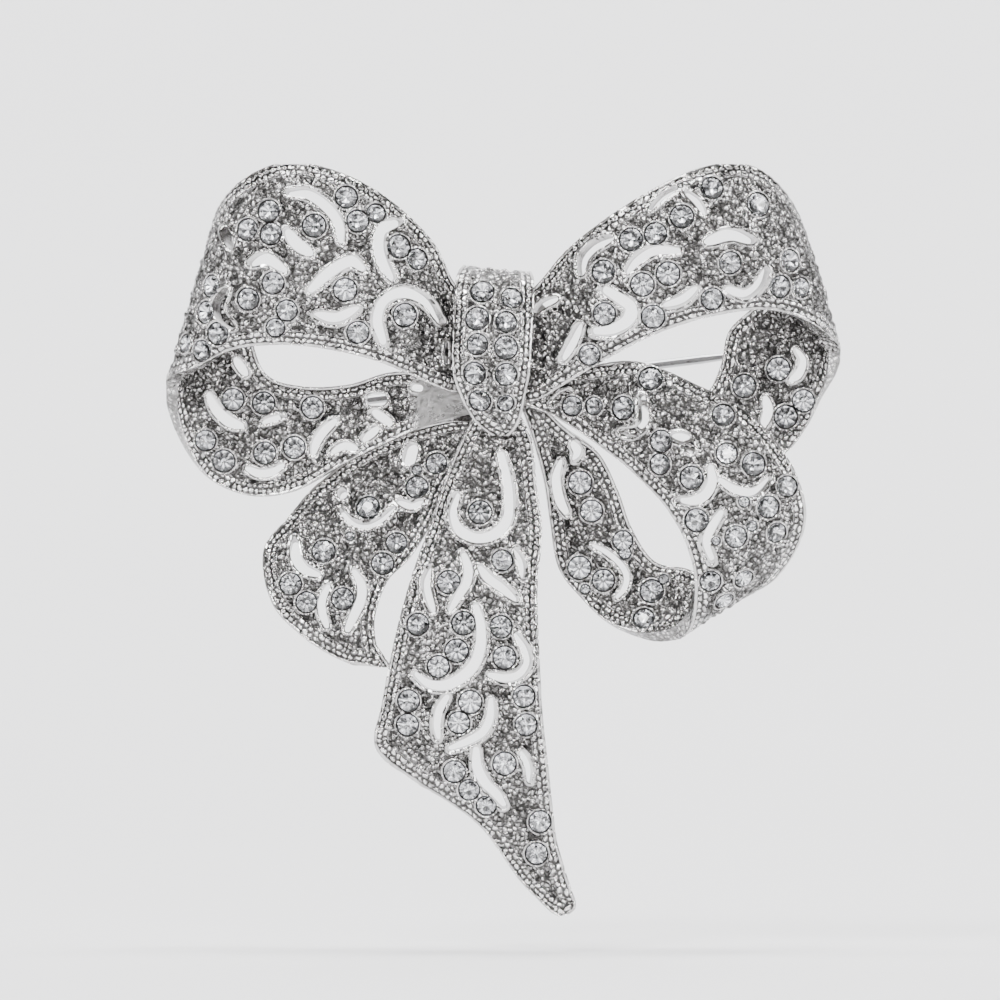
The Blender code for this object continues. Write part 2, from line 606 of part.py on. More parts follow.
core_plate_outline = []
for corner_x, corner_z, first in (
        (PLATE_RIGHT - PLATE_CORNER, PLATE_HALF_HEIGHT - PLATE_CORNER, 0),
        (PLATE_LEFT + PLATE_CORNER, PLATE_HALF_HEIGHT - PLATE_CORNER, 1),
        (PLATE_LEFT + PLATE_CORNER, PLATE_CORNER - PLATE_HALF_HEIGHT, 2),
        (PLATE_RIGHT - PLATE_CORNER, PLATE_CORNER - PLATE_HALF_HEIGHT, 3)):
    for step in range(4):
        angle = math.pi / 2 * (first + step / 3)
        core_plate_outline.append(Vector((corner_x + PLATE_CORNER * math.cos(angle),
                                          corner_z + PLATE_CORNER * math.sin(angle))))
plate_points = []
plate_faces = []
prism(plate_points, plate_faces, core_plate_outline, PLATE_FRONT, PLATE_BACK)
solder_core = add_object("solder_core", mesh_from("solder_core", plate_points, plate_faces))
core_tool = add_object("solder_core_block_tool", box(
    "solder_core_block_tool",
    (CORE_LEFT, CORE_FRONT, CORE_BOTTOM), (CORE_RIGHT, PLATE_FRONT + 0.4, CORE_TOP)))
cut(solder_core, core_tool, "block", "UNION")
solder_core.data.materials.append(material("solder_core", (0.60, 0.60, 0.62), 0.35, 1.0))


# Directions of the pin: along the stem, and the hinge axis square to it in the same plane

along_pin = Vector((1.0, 0.0, PIN_SLOPE)).normalized()
hinge_axis = Vector((-PIN_SLOPE, 0.0, 1.0)).normalized()
outward = Vector((0.0, 1.0, 0.0))


def on_pin(x):
    """Point of the pin axis at a given x."""
    return Vector((x, PIN_AXIS_Y, PIN_LEVEL * Z_SCALE + x * PIN_SLOPE))


hinge_centre = on_pin(HINGE_X * X_SCALE)
catch_centre = on_pin(CATCH_X * X_SCALE)
pin_frame = Matrix((along_pin, outward, hinge_axis)).transposed()


def turned(centre, points):
    """Points given as (along, outward, hinge axis) offsets, moved to the pin's directions."""
    return [centre + pin_frame @ Vector(point) for point in points]


def pad(owner, centre, radius, depth):
    """Flat round soldering pad cast onto the back of a loop."""
    sides = 20
    points = disc_rings(Vector((centre.x, 0.0, centre.z)), outward,
                        ((radius, depth), (radius, PAD_FACE)), sides)
    tool = add_object(owner.name + "_pad_tool",
                      mesh_from(owner.name + "_pad_tool", points, ring_faces(0, 2, sides)))
    cut(owner, tool, "pad", "UNION")


pad(upper_left_loop, hinge_centre, HINGE_PAD_RADIUS, 2.2)
pad(upper_right_loop, catch_centre, CATCH_PAD_RADIUS, 2.6)


def lathe(name, axis_place, axis, rings, sides):
    """Solid of stacked rings round an axis, placed with its origin on the axis."""
    here = [point - axis_place for point in disc_rings(axis_place, axis, rings, sides)]
    return add_object(name, mesh_from(name, here, ring_faces(0, len(rings), sides)),
                      axis_place)


def tool_box(name, centre, low, high):
    """Cutting block square to the pin's directions."""
    corners = [(x, y, z) for x in (low[0], high[0]) for y in (low[1], high[1])
               for z in (low[2], high[2])]
    faces = [[0, 1, 3, 2], [4, 6, 7, 5], [0, 4, 5, 1], [2, 3, 7, 6], [0, 2, 6, 4],
             [1, 5, 7, 3]]
    return add_object(name, mesh_from(name, turned(centre, corners), faces))


def tool_rod(name, centre, axis, rings, sides=24):
    """Round cutting tool about an axis."""
    points = disc_rings(centre, axis, rings, sides)
    return add_object(name, mesh_from(name, points, ring_faces(0, len(rings), sides)))


# Hinge bracket: round base soldered to the pad, and two ears that carry the rivet

base_front = PAD_FACE + SOLDER_GAP - PIN_AXIS_Y
base_back = base_front + BASE_THICKNESS
ear_inner = EYE_HALF_WIDTH + EAR_CLEARANCE
ear_outer = ear_inner + EAR_THICKNESS
hinge_base_rings = ((HINGE_PAD_RADIUS - BASE_MARGIN, base_front),
                    (HINGE_PAD_RADIUS - BASE_MARGIN, base_back))
bracket_mesh = mesh_from("hinge_bracket",
                         disc_rings(hinge_centre, outward, hinge_base_rings, 20),
                         ring_faces(0, 2, 20))
hinge_bracket = add_object("hinge_bracket", bracket_mesh)
ears = tool_box("hinge_ears_tool", hinge_centre,
                (-EAR_RADIUS, base_front + BASE_THICKNESS / 2, -ear_outer),
                (EAR_RADIUS, 0.0, ear_outer))
cut(hinge_bracket, ears, "ears", "UNION")
ear_tops = tool_rod("hinge_ear_tops_tool", hinge_centre, hinge_axis,
                    ((EAR_RADIUS, -ear_outer), (EAR_RADIUS, ear_outer)))
cut(hinge_bracket, ear_tops, "ear_tops", "UNION")
ear_slot = tool_box("hinge_ear_slot_tool", hinge_centre,
                    (-2 * EAR_RADIUS, base_back, -ear_inner),
                    (2 * EAR_RADIUS, 2 * EAR_RADIUS, ear_inner))
cut(hinge_bracket, ear_slot, "ear_slot")
rivet_hole = tool_rod("hinge_rivet_hole_tool", hinge_centre, hinge_axis,
                      ((RIVET_RADIUS + RIVET_CLEARANCE, -2 * ear_outer),
                       (RIVET_RADIUS + RIVET_CLEARANCE, 2 * ear_outer)))
cut(hinge_bracket, rivet_hole, "rivet_hole")
hinge_bracket.data.materials.append(material("hinge_bracket", FINDING_COLOUR, 0.25, 1.0))


# Rivet through both ears, headed on the outside

head_start = ear_outer + RIVET_CLEARANCE
head_end = head_start + RIVET_HEAD
hinge_rivet = lathe("hinge_rivet", hinge_centre, hinge_axis, (
    (RIVET_HEAD_RADIUS * 0.6, -head_end), (RIVET_HEAD_RADIUS, -head_end + RIVET_HEAD * 0.5),
    (RIVET_HEAD_RADIUS, -head_start), (RIVET_RADIUS, -head_start),
    (RIVET_RADIUS, head_start), (RIVET_HEAD_RADIUS, head_start),
    (RIVET_HEAD_RADIUS, head_end - RIVET_HEAD * 0.5), (RIVET_HEAD_RADIUS * 0.6, head_end)), 24)
hinge_rivet.data.materials.append(material("hinge_rivet", (0.74, 0.74, 0.75), 0.3, 1.0))


# Pin stem: round wire with a flat eye on the rivet, ground to a point past the catch

pin_length = (catch_centre - hinge_centre).length + PIN_OVERRUN
stem_rings = ((PIN_RADIUS, EYE_RADIUS * 0.8), (PIN_RADIUS, pin_length - PIN_TAPER),
              (PIN_RADIUS * 0.62, pin_length - PIN_TAPER * 0.4),
              (PIN_TIP_RADIUS, pin_length))
pin_stem = lathe("pin_stem", hinge_centre, hinge_axis,
                 ((EYE_RADIUS, -EYE_HALF_WIDTH), (EYE_RADIUS, EYE_HALF_WIDTH)), 24)
stem_tool = tool_rod("pin_stem_wire_tool", hinge_centre, along_pin, stem_rings, 12)
cut(pin_stem, stem_tool, "wire", "UNION")
eye_tool = tool_rod("pin_stem_eye_tool", hinge_centre, hinge_axis,
                    ((RIVET_RADIUS + RIVET_CLEARANCE, -2 * EYE_HALF_WIDTH),
                     (RIVET_RADIUS + RIVET_CLEARANCE, 2 * EYE_HALF_WIDTH)))
cut(pin_stem, eye_tool, "eye")
pin_stem.data.materials.append(material("pin_stem", (0.78, 0.78, 0.79), 0.18, 1.0))


# Catch body: base on the pad, two cheeks and an open tube the pin drops into

rotor_room = ROTOR_HALF_WIDTH + CHEEK_CLEARANCE
cheek_outer = rotor_room + CHEEK_THICKNESS
catch_base_rings = ((CATCH_PAD_RADIUS - BASE_MARGIN, base_front),
                    (CATCH_PAD_RADIUS - BASE_MARGIN, base_back))
catch_body = add_object("catch_body", mesh_from(
    "catch_body", disc_rings(catch_centre, outward, catch_base_rings, 20),
    ring_faces(0, 2, 20)))
cheeks = tool_box("catch_cheeks_tool", catch_centre,
                  (-cheek_outer, base_front + BASE_THICKNESS / 2, -CHEEK_HALF),
                  (cheek_outer, CHEEK_TOP, CHEEK_HALF))
cut(catch_body, cheeks, "cheeks", "UNION")
rotor_space = tool_box("catch_rotor_space_tool", catch_centre,
                       (-rotor_room, base_back, -2 * CHEEK_HALF),
                       (rotor_room, 2 * CHEEK_HALF, 2 * CHEEK_HALF))
cut(catch_body, rotor_space, "rotor_space")
tube = tool_rod("catch_tube_tool", catch_centre, along_pin,
                ((CATCH_TUBE, -cheek_outer + 0.1), (CATCH_TUBE, cheek_outer - 0.1)))
cut(catch_body, tube, "tube", "UNION")
catch_bore = tool_rod("catch_bore_tool", catch_centre, along_pin,
                      ((CATCH_BORE, -2 * cheek_outer), (CATCH_BORE, 2 * cheek_outer)))
cut(catch_body, catch_bore, "bore")
catch_mouth = tool_box("catch_mouth_tool", catch_centre,
                       (-2 * cheek_outer, 0.0, -MOUTH_HALF),
                       (2 * cheek_outer, 2 * CHEEK_HALF, MOUTH_HALF))
cut(catch_body, catch_mouth, "mouth")
catch_body.data.materials.append(material("catch_body", FINDING_COLOUR, 0.24, 1.0))


# Catch rotor: slotted ring that turns on the tube and closes its mouth, with a thumb lever

catch_rotor = lathe("catch_rotor", catch_centre, along_pin,
                    ((ROTOR_RADIUS, -ROTOR_HALF_WIDTH), (ROTOR_RADIUS, ROTOR_HALF_WIDTH)), 28)
lever_out = Vector((0.0, math.cos(LEVER_REST), math.sin(LEVER_REST)))
lever_side = Vector((0.0, -lever_out.z, lever_out.y))
lever_points = []
for reach, width in ((ROTOR_BORE + 0.2, LEVER_HALF_WIDTH), (LEVER_REACH, LEVER_HALF_WIDTH)):
    for along, side in ((-1, -1), (1, -1), (1, 1), (-1, 1)):
        lever_points.append(Vector((along * width, 0.0, 0.0)) + lever_out * reach
                            + lever_side * side * LEVER_HALF_THICKNESS)
lever_tool = add_object("catch_lever_tool", mesh_from(
    "catch_lever_tool", turned(catch_centre, lever_points), ring_faces(0, 2, 4)))
cut(catch_rotor, lever_tool, "lever", "UNION")
rotor_bore = tool_rod("catch_rotor_bore_tool", catch_centre, along_pin,
                      ((ROTOR_BORE, -2 * ROTOR_HALF_WIDTH), (ROTOR_BORE, 2 * ROTOR_HALF_WIDTH)))
cut(catch_rotor, rotor_bore, "bore")
rotor_mouth = tool_box("catch_rotor_mouth_tool", catch_centre,
                       (-2 * ROTOR_HALF_WIDTH, 0.0, -MOUTH_HALF),
                       (2 * ROTOR_HALF_WIDTH, 2 * ROTOR_RADIUS, MOUTH_HALF))
cut(catch_rotor, rotor_mouth, "mouth")
catch_rotor.data.materials.append(material("catch_rotor", (0.70, 0.70, 0.72), 0.22, 1.0))
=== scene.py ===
import math

import bmesh
import bpy
import numpy as np
from mathutils import Matrix, Vector
from mathutils.bvhtree import BVHTree


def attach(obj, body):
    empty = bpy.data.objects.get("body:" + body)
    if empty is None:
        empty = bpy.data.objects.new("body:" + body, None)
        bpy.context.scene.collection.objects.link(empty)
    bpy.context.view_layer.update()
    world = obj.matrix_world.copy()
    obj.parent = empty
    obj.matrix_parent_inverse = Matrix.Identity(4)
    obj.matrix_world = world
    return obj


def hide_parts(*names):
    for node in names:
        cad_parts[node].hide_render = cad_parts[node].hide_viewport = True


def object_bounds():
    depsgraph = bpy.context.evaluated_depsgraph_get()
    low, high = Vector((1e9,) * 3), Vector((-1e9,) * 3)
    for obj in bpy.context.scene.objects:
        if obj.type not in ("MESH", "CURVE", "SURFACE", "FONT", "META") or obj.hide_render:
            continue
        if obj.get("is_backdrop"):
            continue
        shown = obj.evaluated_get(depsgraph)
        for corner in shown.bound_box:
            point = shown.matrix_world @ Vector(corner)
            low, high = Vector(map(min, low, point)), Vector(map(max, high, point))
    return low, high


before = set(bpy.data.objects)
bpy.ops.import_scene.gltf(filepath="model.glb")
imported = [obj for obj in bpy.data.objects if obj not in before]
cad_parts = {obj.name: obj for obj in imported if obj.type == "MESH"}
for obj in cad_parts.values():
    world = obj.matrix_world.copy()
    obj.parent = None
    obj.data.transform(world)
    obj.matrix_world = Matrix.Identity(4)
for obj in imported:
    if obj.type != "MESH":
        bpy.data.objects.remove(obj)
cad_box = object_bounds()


# ---------------------------------------------------------------------------
# Upper left loop. A ribbon cast in white metal and bright plated, folded over at
# the left, so its face shows on the front sheet and its lining on the return.
# Both ends are soldered to the core behind the knot. Ribs and slots are in mm.

MM = 0.001
METAL = 1.1                          # thickness of the casting, mm
DATUM = Vector((0.0, -8.3, 2.85))    # place in the frame of the ribs' own zero, mm
CELL = 0.15                          # side of a cell of the sheet, mm
MOST_CELLS = 46000                   # on one side of a sheet
PLATING = (0.87, 0.852, 0.843, 1)    # bright plated metal
# Dark end of the cast metal's colour: painted shade in the pits, seams, bead edges and stone gaps,
# and the darker mottle of the plain metal
PAINTED_SHADE_AND_DARK_TONE = (0.022, 0.021, 0.02, 1)    # in the pits between granules
cad_low, cad_high = np.array(cad_box[0]) + 1e-5, np.array(cad_box[1]) - 1e-5


def spline(table, where):
    """Catmull-Rom values of a table of rows at fractional row numbers."""
    last = len(table) - 1
    index = np.clip(where.astype(int), 0, last - 1)
    t = (where - index)[:, None]
    padded = np.vstack([2 * table[0] - table[1], table, 2 * table[-1] - table[-2]])
    p0, p1, p2, p3 = (padded[index + k] for k in range(4))
    return 0.5 * (2 * p1 + (p2 - p0) * t + (2 * p0 - 5 * p1 + 4 * p2 - p3) * t ** 2
                  + (3 * p1 - p0 - 3 * p2 + p3) * t ** 3)


def unit(rows):
    """Directions scaled to a length of one."""
    return rows / np.maximum(np.linalg.norm(rows, axis=-1, keepdims=True), 1e-9)


def lay_ribbon(ribs):
    """Middle surface of a ribbon on an even grid, its outward directions and its rib numbers."""
    table = np.array([(a[0], ya, a[1], b[0], yb, b[1], bulge) for a, b, ya, yb, bulge in ribs])
    fine = np.linspace(0, len(ribs) - 1, 40 * len(ribs))
    middle = spline(table, fine)
    middle = (middle[:, :3] + middle[:, 3:6]) / 2
    run = np.concatenate([[0], np.cumsum(np.linalg.norm(np.diff(middle, axis=0), axis=1))])
    widths = np.linalg.norm(table[:, :3] - table[:, 3:6], axis=1)
    columns = int(max(widths) / CELL)
    rows = int(min(run[-1] / CELL, MOST_CELLS / columns))
    where = np.interp(np.linspace(0, run[-1], rows + 1), run, fine)
    lines = spline(table, where)
    share = np.linspace(0, 1, columns + 1)[None, :, None]
    points = lines[:, None, :3] * (1 - share) + lines[:, None, 3:6] * share
    out = unit(np.cross(np.gradient(points, axis=0), np.gradient(points, axis=1)))
    if out[rows // 4, columns // 2, 1] > 0:
        out = -out
    points = points + out * lines[:, None, 6:7] * 4 * share * (1 - share)
    bent = unit(np.cross(np.gradient(points, axis=0), np.gradient(points, axis=1)))
    bent *= np.sign((bent * out).sum(-1, keepdims=True))
    return points, bent, where


def sheet_tree(points, low, high):
    """Coarse tree over some rows of a surface, to find where a line of sight meets it."""
    rows = np.unique(np.linspace(low, high, max(2, (high - low) // 4)).astype(int))
    columns = np.unique(np.linspace(0, points.shape[1] - 1, points.shape[1] // 4).astype(int))
    net = points[np.ix_(rows, columns)]
    wide = len(columns)
    quads = [(i * wide + j, i * wide + j + 1, (i + 1) * wide + j + 1, (i + 1) * wide + j)
             for i in range(len(rows) - 1) for j in range(wide - 1)]
    return BVHTree.FromPolygons([Vector(p) for p in net.reshape(-1, 3)], quads)


def seat(tree, x, z):
    """Place and facing direction, towards the front, of a stone on a surface."""
    place, out = tree.ray_cast(Vector((x, -40, z)), Vector((0, 1, 0)))[:2]
    if place is None:
        place, out = tree.find_nearest(Vector((x, -5, z)))[:2]
    return place, (-out if out.y > 0 else out)


def edge_gap(points, line):
    """Distance of each grid point to an edge line, and how far along that edge it lies."""
    run = np.concatenate([[0], np.cumsum(np.linalg.norm(np.diff(line, axis=0), axis=1))])
    gap = np.empty(points.shape[:2])
    along = np.empty(points.shape[:2])
    for start in range(0, points.shape[0], 16):
        part = points[start:start + 16]
        square = ((part[:, :, None, :] - line[None, None, ::2, :]) ** 2).sum(-1)
        near = np.clip(square.argmin(-1) * 2, 1, len(line) - 2)
        tangent = unit(line[near + 1] - line[near - 1])
        offset = part - line[near]
        ahead = (offset * tangent).sum(-1)
        gap[start:start + 16] = np.linalg.norm(offset - ahead[..., None] * tangent, axis=-1)
        along[start:start + 16] = run[near] + ahead
    return gap, along


def slot_gap(points, slots, low, high):
    """Signed distance to the nearest slot outline in front view, and the way out of it."""
    gap = np.full(points.shape[:2], 9.0)
    way = np.zeros(points.shape[:2] + (2,))
    flat = points[..., [0, 2]]
    for line, width, taper in slots:
        line = np.array(line, float)
        line = spline(line, np.linspace(0, len(line) - 1, 6 * len(line)))
        inside = np.zeros(points.shape[:2], bool)
        inside[low:high + 1] = True
        inside &= (np.abs(flat - (line.min(0) + line.max(0)) / 2)
                   < (line.max(0) - line.min(0)) / 2 + 1.6).all(-1)
        spot = flat[inside]
        if not len(spot):
            continue
        best = np.full(len(spot), 99.0)
        out = np.zeros((len(spot), 2))
        for k in range(len(line) - 1):
            run = line[k + 1] - line[k]
            t = np.clip(((spot - line[k]) @ run) / max(run @ run, 1e-9), 0, 1)
            share = np.abs(2 * (k + t) / (len(line) - 1) - 1)
            offset = spot - line[k] - t[:, None] * run
            reach = np.linalg.norm(offset, axis=1)
            sd = reach - width / 2 * (1 - taper * share ** 3)
            closer = sd < best
            best[closer] = sd[closer]
            out[closer] = (offset / np.maximum(reach, 1e-6)[:, None])[closer]
        old = gap[inside]
        gap[inside] = np.minimum(best, old)
        way[inside] = np.where((best < old)[:, None], out, way[inside])
    return gap, way


def ramp(value, start, end):
    """Smooth step from 0 at the start to 1 at the end."""
    t = np.clip((value - start) / (end - start), 0, 1)
    return t * t * (3 - 2 * t)


def ridge(value, centre, half):
    """Rounded ridge, 1 high at its centre and 0 from half its width outwards."""
    return np.clip(1 - ((value - centre) / half) ** 2, 0, 1)


def grains(points, size, seed):
    """Smooth random lumps of about a given size, fixed to the metal."""
    rng = np.random.default_rng(seed)
    block = rng.random((64, 64, 64))
    spot = points / size
    cell = np.floor(spot).astype(int)
    t = spot - cell
    t = t * t * (3 - 2 * t)
    value = np.zeros(points.shape[:-1])
    for corner in range(8):
        step = np.array([corner & 1, corner >> 1 & 1, corner >> 2 & 1])
        index = (cell + step) % 64
        weight = np.where(step, t, 1 - t).prod(-1)
        value += weight * block[index[..., 0], index[..., 1], index[..., 2]]
    return value


BORDER = 1.1                         # width of the beaded edge, mm
SETTING_WALL = 0.16                  # from a stone to the crown of its setting, mm
GROUND_DEPTH = 0.10                  # of the granulated ground under the border, mm


def face_relief(points, out, seats, slot, edge, decorated, seed):
    """Height of a decorated face over its plain surface, and the gap to the nearest stone."""
    stone = np.full(points.shape[:-1], 9.0)
    for place, facing, radius in seats:
        offset = points - np.array(place)
        off = (offset * np.array(facing)).sum(-1)
        gap = np.sqrt(np.maximum((offset ** 2).sum(-1) - off ** 2, 0)) - radius
        gap[np.abs(off) > 1.6] = 9.0
        stone = np.minimum(stone, gap)
    ground = (ramp(slot, 0.28, 0.45) * ramp(stone, SETTING_WALL, 0.3)
              * ramp(edge, BORDER, BORDER + 0.2))
    height = -GROUND_DEPTH * ground + 0.36 * (grains(points, 0.46, seed) - 0.5) * ground
    height += 0.12 * (grains(points + 9.0, 0.34, seed) - 0.5) * ramp(stone, 0.1, 0.2)
    height += 0.15 * ridge(slot, 0.14, 0.2)
    height += 0.09 * ridge(edge, 0.12, 0.16) + 0.05 * ridge(edge, 0.75, 0.5)
    height += 0.08 * ridge(stone, SETTING_WALL, 0.12) * (slot > 0.1)
    cup = 0.14 + 0.48 * np.clip(-stone, 0, 1)
    height = np.where(stone < 0.06, -cup * ramp(-stone, -0.06, -0.02), height)
    return height * decorated, stone


def cast_ribbon(name, ribs, fold, front_slots, back_slots, front_stones, back_stones, seed,
                bare=99):
    """Folded or open ribbon as one closed casting, with its seats for the stones."""
    points, out, where = lay_ribbon(ribs)
    rows, columns = points.shape[0] - 1, points.shape[1] - 1
    turn = int(np.searchsorted(where, fold)) if fold else rows
    face = points + out * METAL / 2
    lining = points - out * METAL / 2
    front_tree = sheet_tree(face, 0, turn)
    seats = [(*seat(front_tree, x, z), r) for x, z, r in front_stones]
    slot, way = slot_gap(points, front_slots, 0, turn)
    back_seats = []
    if fold:
        back_tree = sheet_tree(lining, turn, rows)
        back_seats = [(*seat(back_tree, x, z), r) for x, z, r in back_stones]
        back_slot, back_way = slot_gap(points, back_slots, turn, rows)
        way = np.where((back_slot < slot)[..., None], back_way, way)
        slot = np.minimum(slot, back_slot)
    gap_a, run_a = edge_gap(points, points[:, 0])
    gap_b, run_b = edge_gap(points, points[:, -1])
    edge = np.minimum(gap_a, gap_b)
    run = np.where(gap_a < gap_b, run_a, run_b)

    # The sheet is a grid laid on the face. Its slots are opened cell by cell, and the
    # corners round them are drawn onto the true outline.
    centre = (slot[:-1, :-1] + slot[1:, :-1] + slot[:-1, 1:] + slot[1:, 1:]) / 4
    opened = centre < 0
    touch = np.zeros(slot.shape, bool)
    for i in (0, 1):
        for j in (0, 1):
            touch[i:rows + i, j:columns + j] |= opened
    keep = np.zeros(slot.shape, bool)
    for i in (0, 1):
        for j in (0, 1):
            keep[i:rows + i, j:columns + j] |= ~opened
    rim = touch & keep
    down = np.gradient(face, axis=0)
    over = np.gradient(face, axis=1)
    move = -slot[..., None] * way
    det = down[..., 0] * over[..., 2] - down[..., 2] * over[..., 0]
    det = np.where(np.abs(det) < 1e-5, 1e-5, det)
    di = np.clip((move[..., 0] * over[..., 2] - move[..., 1] * over[..., 0]) / det, -1, 1)
    dj = np.clip((move[..., 1] * down[..., 0] - move[..., 0] * down[..., 2]) / det, -1, 1)
    shift = (down * di[..., None] + over * dj[..., None]) * rim[..., None]
    slot = np.where(rim, 0, slot)

    work = bmesh.new()
    bmesh.ops.create_grid(work, x_segments=columns, y_segments=rows, size=1)
    spot = work.verts.layers.int.new("spot")
    laid = (face + shift).reshape(-1, 3)
    for index, vert in enumerate(work.verts):
        vert[spot] = index
        vert.co = laid[index]
    work.faces.ensure_lookup_table()
    holes = [work.faces[k] for k in np.flatnonzero(opened.reshape(-1))]
    bmesh.ops.delete(work, geom=holes, context="FACES")
    work.normal_update()
    work.faces.ensure_lookup_table()
    lean = sum(probe.normal.dot(Vector(out.reshape(-1, 3)[probe.verts[0][spot]]))
               for probe in work.faces if probe.index % 50 == 0)
    if lean < 0:
        bmesh.ops.reverse_faces(work, faces=work.faces)
    work.normal_update()
    bmesh.ops.solidify(work, geom=work.faces[:], thickness=METAL)
    mesh = bpy.data.meshes.new(name)
    work.to_mesh(mesh)
    work.free()

    count = len(mesh.vertices)
    co = np.empty(count * 3)
    mesh.vertices.foreach_get("co", co)
    co = co.reshape(-1, 3)
    origin = np.empty(count, int)
    mesh.attributes["spot"].data.foreach_get("value", origin)
    mesh.attributes.remove(mesh.attributes["spot"])

    # The wall's two sides are set exactly, then the decorated parts get their relief
    is_lining = np.linalg.norm(co - laid[origin], axis=1) > 0.01
    flat_out = out.reshape(-1, 3)[origin]
    sheet = np.where(is_lining[:, None], lining.reshape(-1, 3)[origin],
                     face.reshape(-1, 3)[origin])
    co = sheet + shift.reshape(-1, 3)[origin]
    row = where[origin // (columns + 1)]
    lined = ramp(row, fold - 0.9, fold - 0.4) * (1 - ramp(row, bare, bare + 0.3))
    decorated = np.where(is_lining, lined if fold else 0.0,
                         1 - ramp(row, fold + 2.0, fold + 2.5) if fold else 1.0)
    slot_v, edge_v, run_v = (a.reshape(-1)[origin] for a in (slot, edge, run))
    height, stone_v = face_relief(co, flat_out, seats, slot_v, edge_v, decorated, seed)
    height_b, stone_b = face_relief(co, flat_out, back_seats, slot_v, edge_v, decorated, seed)
    height = np.where(is_lining, height_b, height)
    stone_v = np.where(is_lining, stone_b, stone_v)
    side = np.where(is_lining, -1.0, 1.0)
    co = co + flat_out * (height * side)[:, None]
    co = np.clip((co + np.array(DATUM)) * MM, cad_low, cad_high)
    mesh.vertices.foreach_set("co", co.reshape(-1))
    for label, values in (("stone_gap", stone_v), ("slot_gap", slot_v), ("edge_gap", edge_v),
                          ("edge_run", run_v), ("decorated", decorated)):
        layer = mesh.attributes.new(label, "FLOAT", "POINT")
        layer.data.foreach_set("value", values.astype(np.float32))
    mesh.shade_smooth()
    mesh.set_sharp_from_angle(angle=math.radians(50))
    mesh.update()
    piece = bpy.data.objects.new(name + "_casting", mesh)
    bpy.context.scene.collection.objects.link(piece)
    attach(piece, "bow")
    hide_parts(name)
    return piece, seats + back_seats


def wire(tree, source, target):
    """Link one socket to another."""
    tree.links.new(source, target)


def maths(tree, operation, first, second=0.5, third=None):
    """Math node fed by sockets or plain numbers."""
    node = tree.nodes.new("ShaderNodeMath")
    node.operation = operation
    for index, value in enumerate((first, second, third)):
        if value is None:
            continue
        if isinstance(value, (int, float)):
            node.inputs[index].default_value = value
        else:
            tree.links.new(value, node.inputs[index])
    return node.outputs[0]


def band(tree, value, start, end, low=0.0, high=1.0):
    """Smooth ramp of a value between two limits."""
    node = tree.nodes.new("ShaderNodeMapRange")
    node.interpolation_type = "SMOOTHSTEP"
    wire(tree, value, node.inputs["Value"])
    node.inputs["From Min"].default_value = start
    node.inputs["From Max"].default_value = end
    node.inputs["To Min"].default_value = low
    node.inputs["To Max"].default_value = high
    return node.outputs[0]


def blend_colour(tree, share, first, second):
    """Mix of two colours, from the first at 0 to the second at 1."""
    node = tree.nodes.new("ShaderNodeMix")
    node.data_type = "RGBA"
    for socket, value in ((node.inputs["Factor"], share), (node.inputs[6], first),
                          (node.inputs[7], second)):
        if isinstance(value, (int, float, tuple)):
            socket.default_value = value
        else:
            wire(tree, value, socket)
    return node.outputs[2]


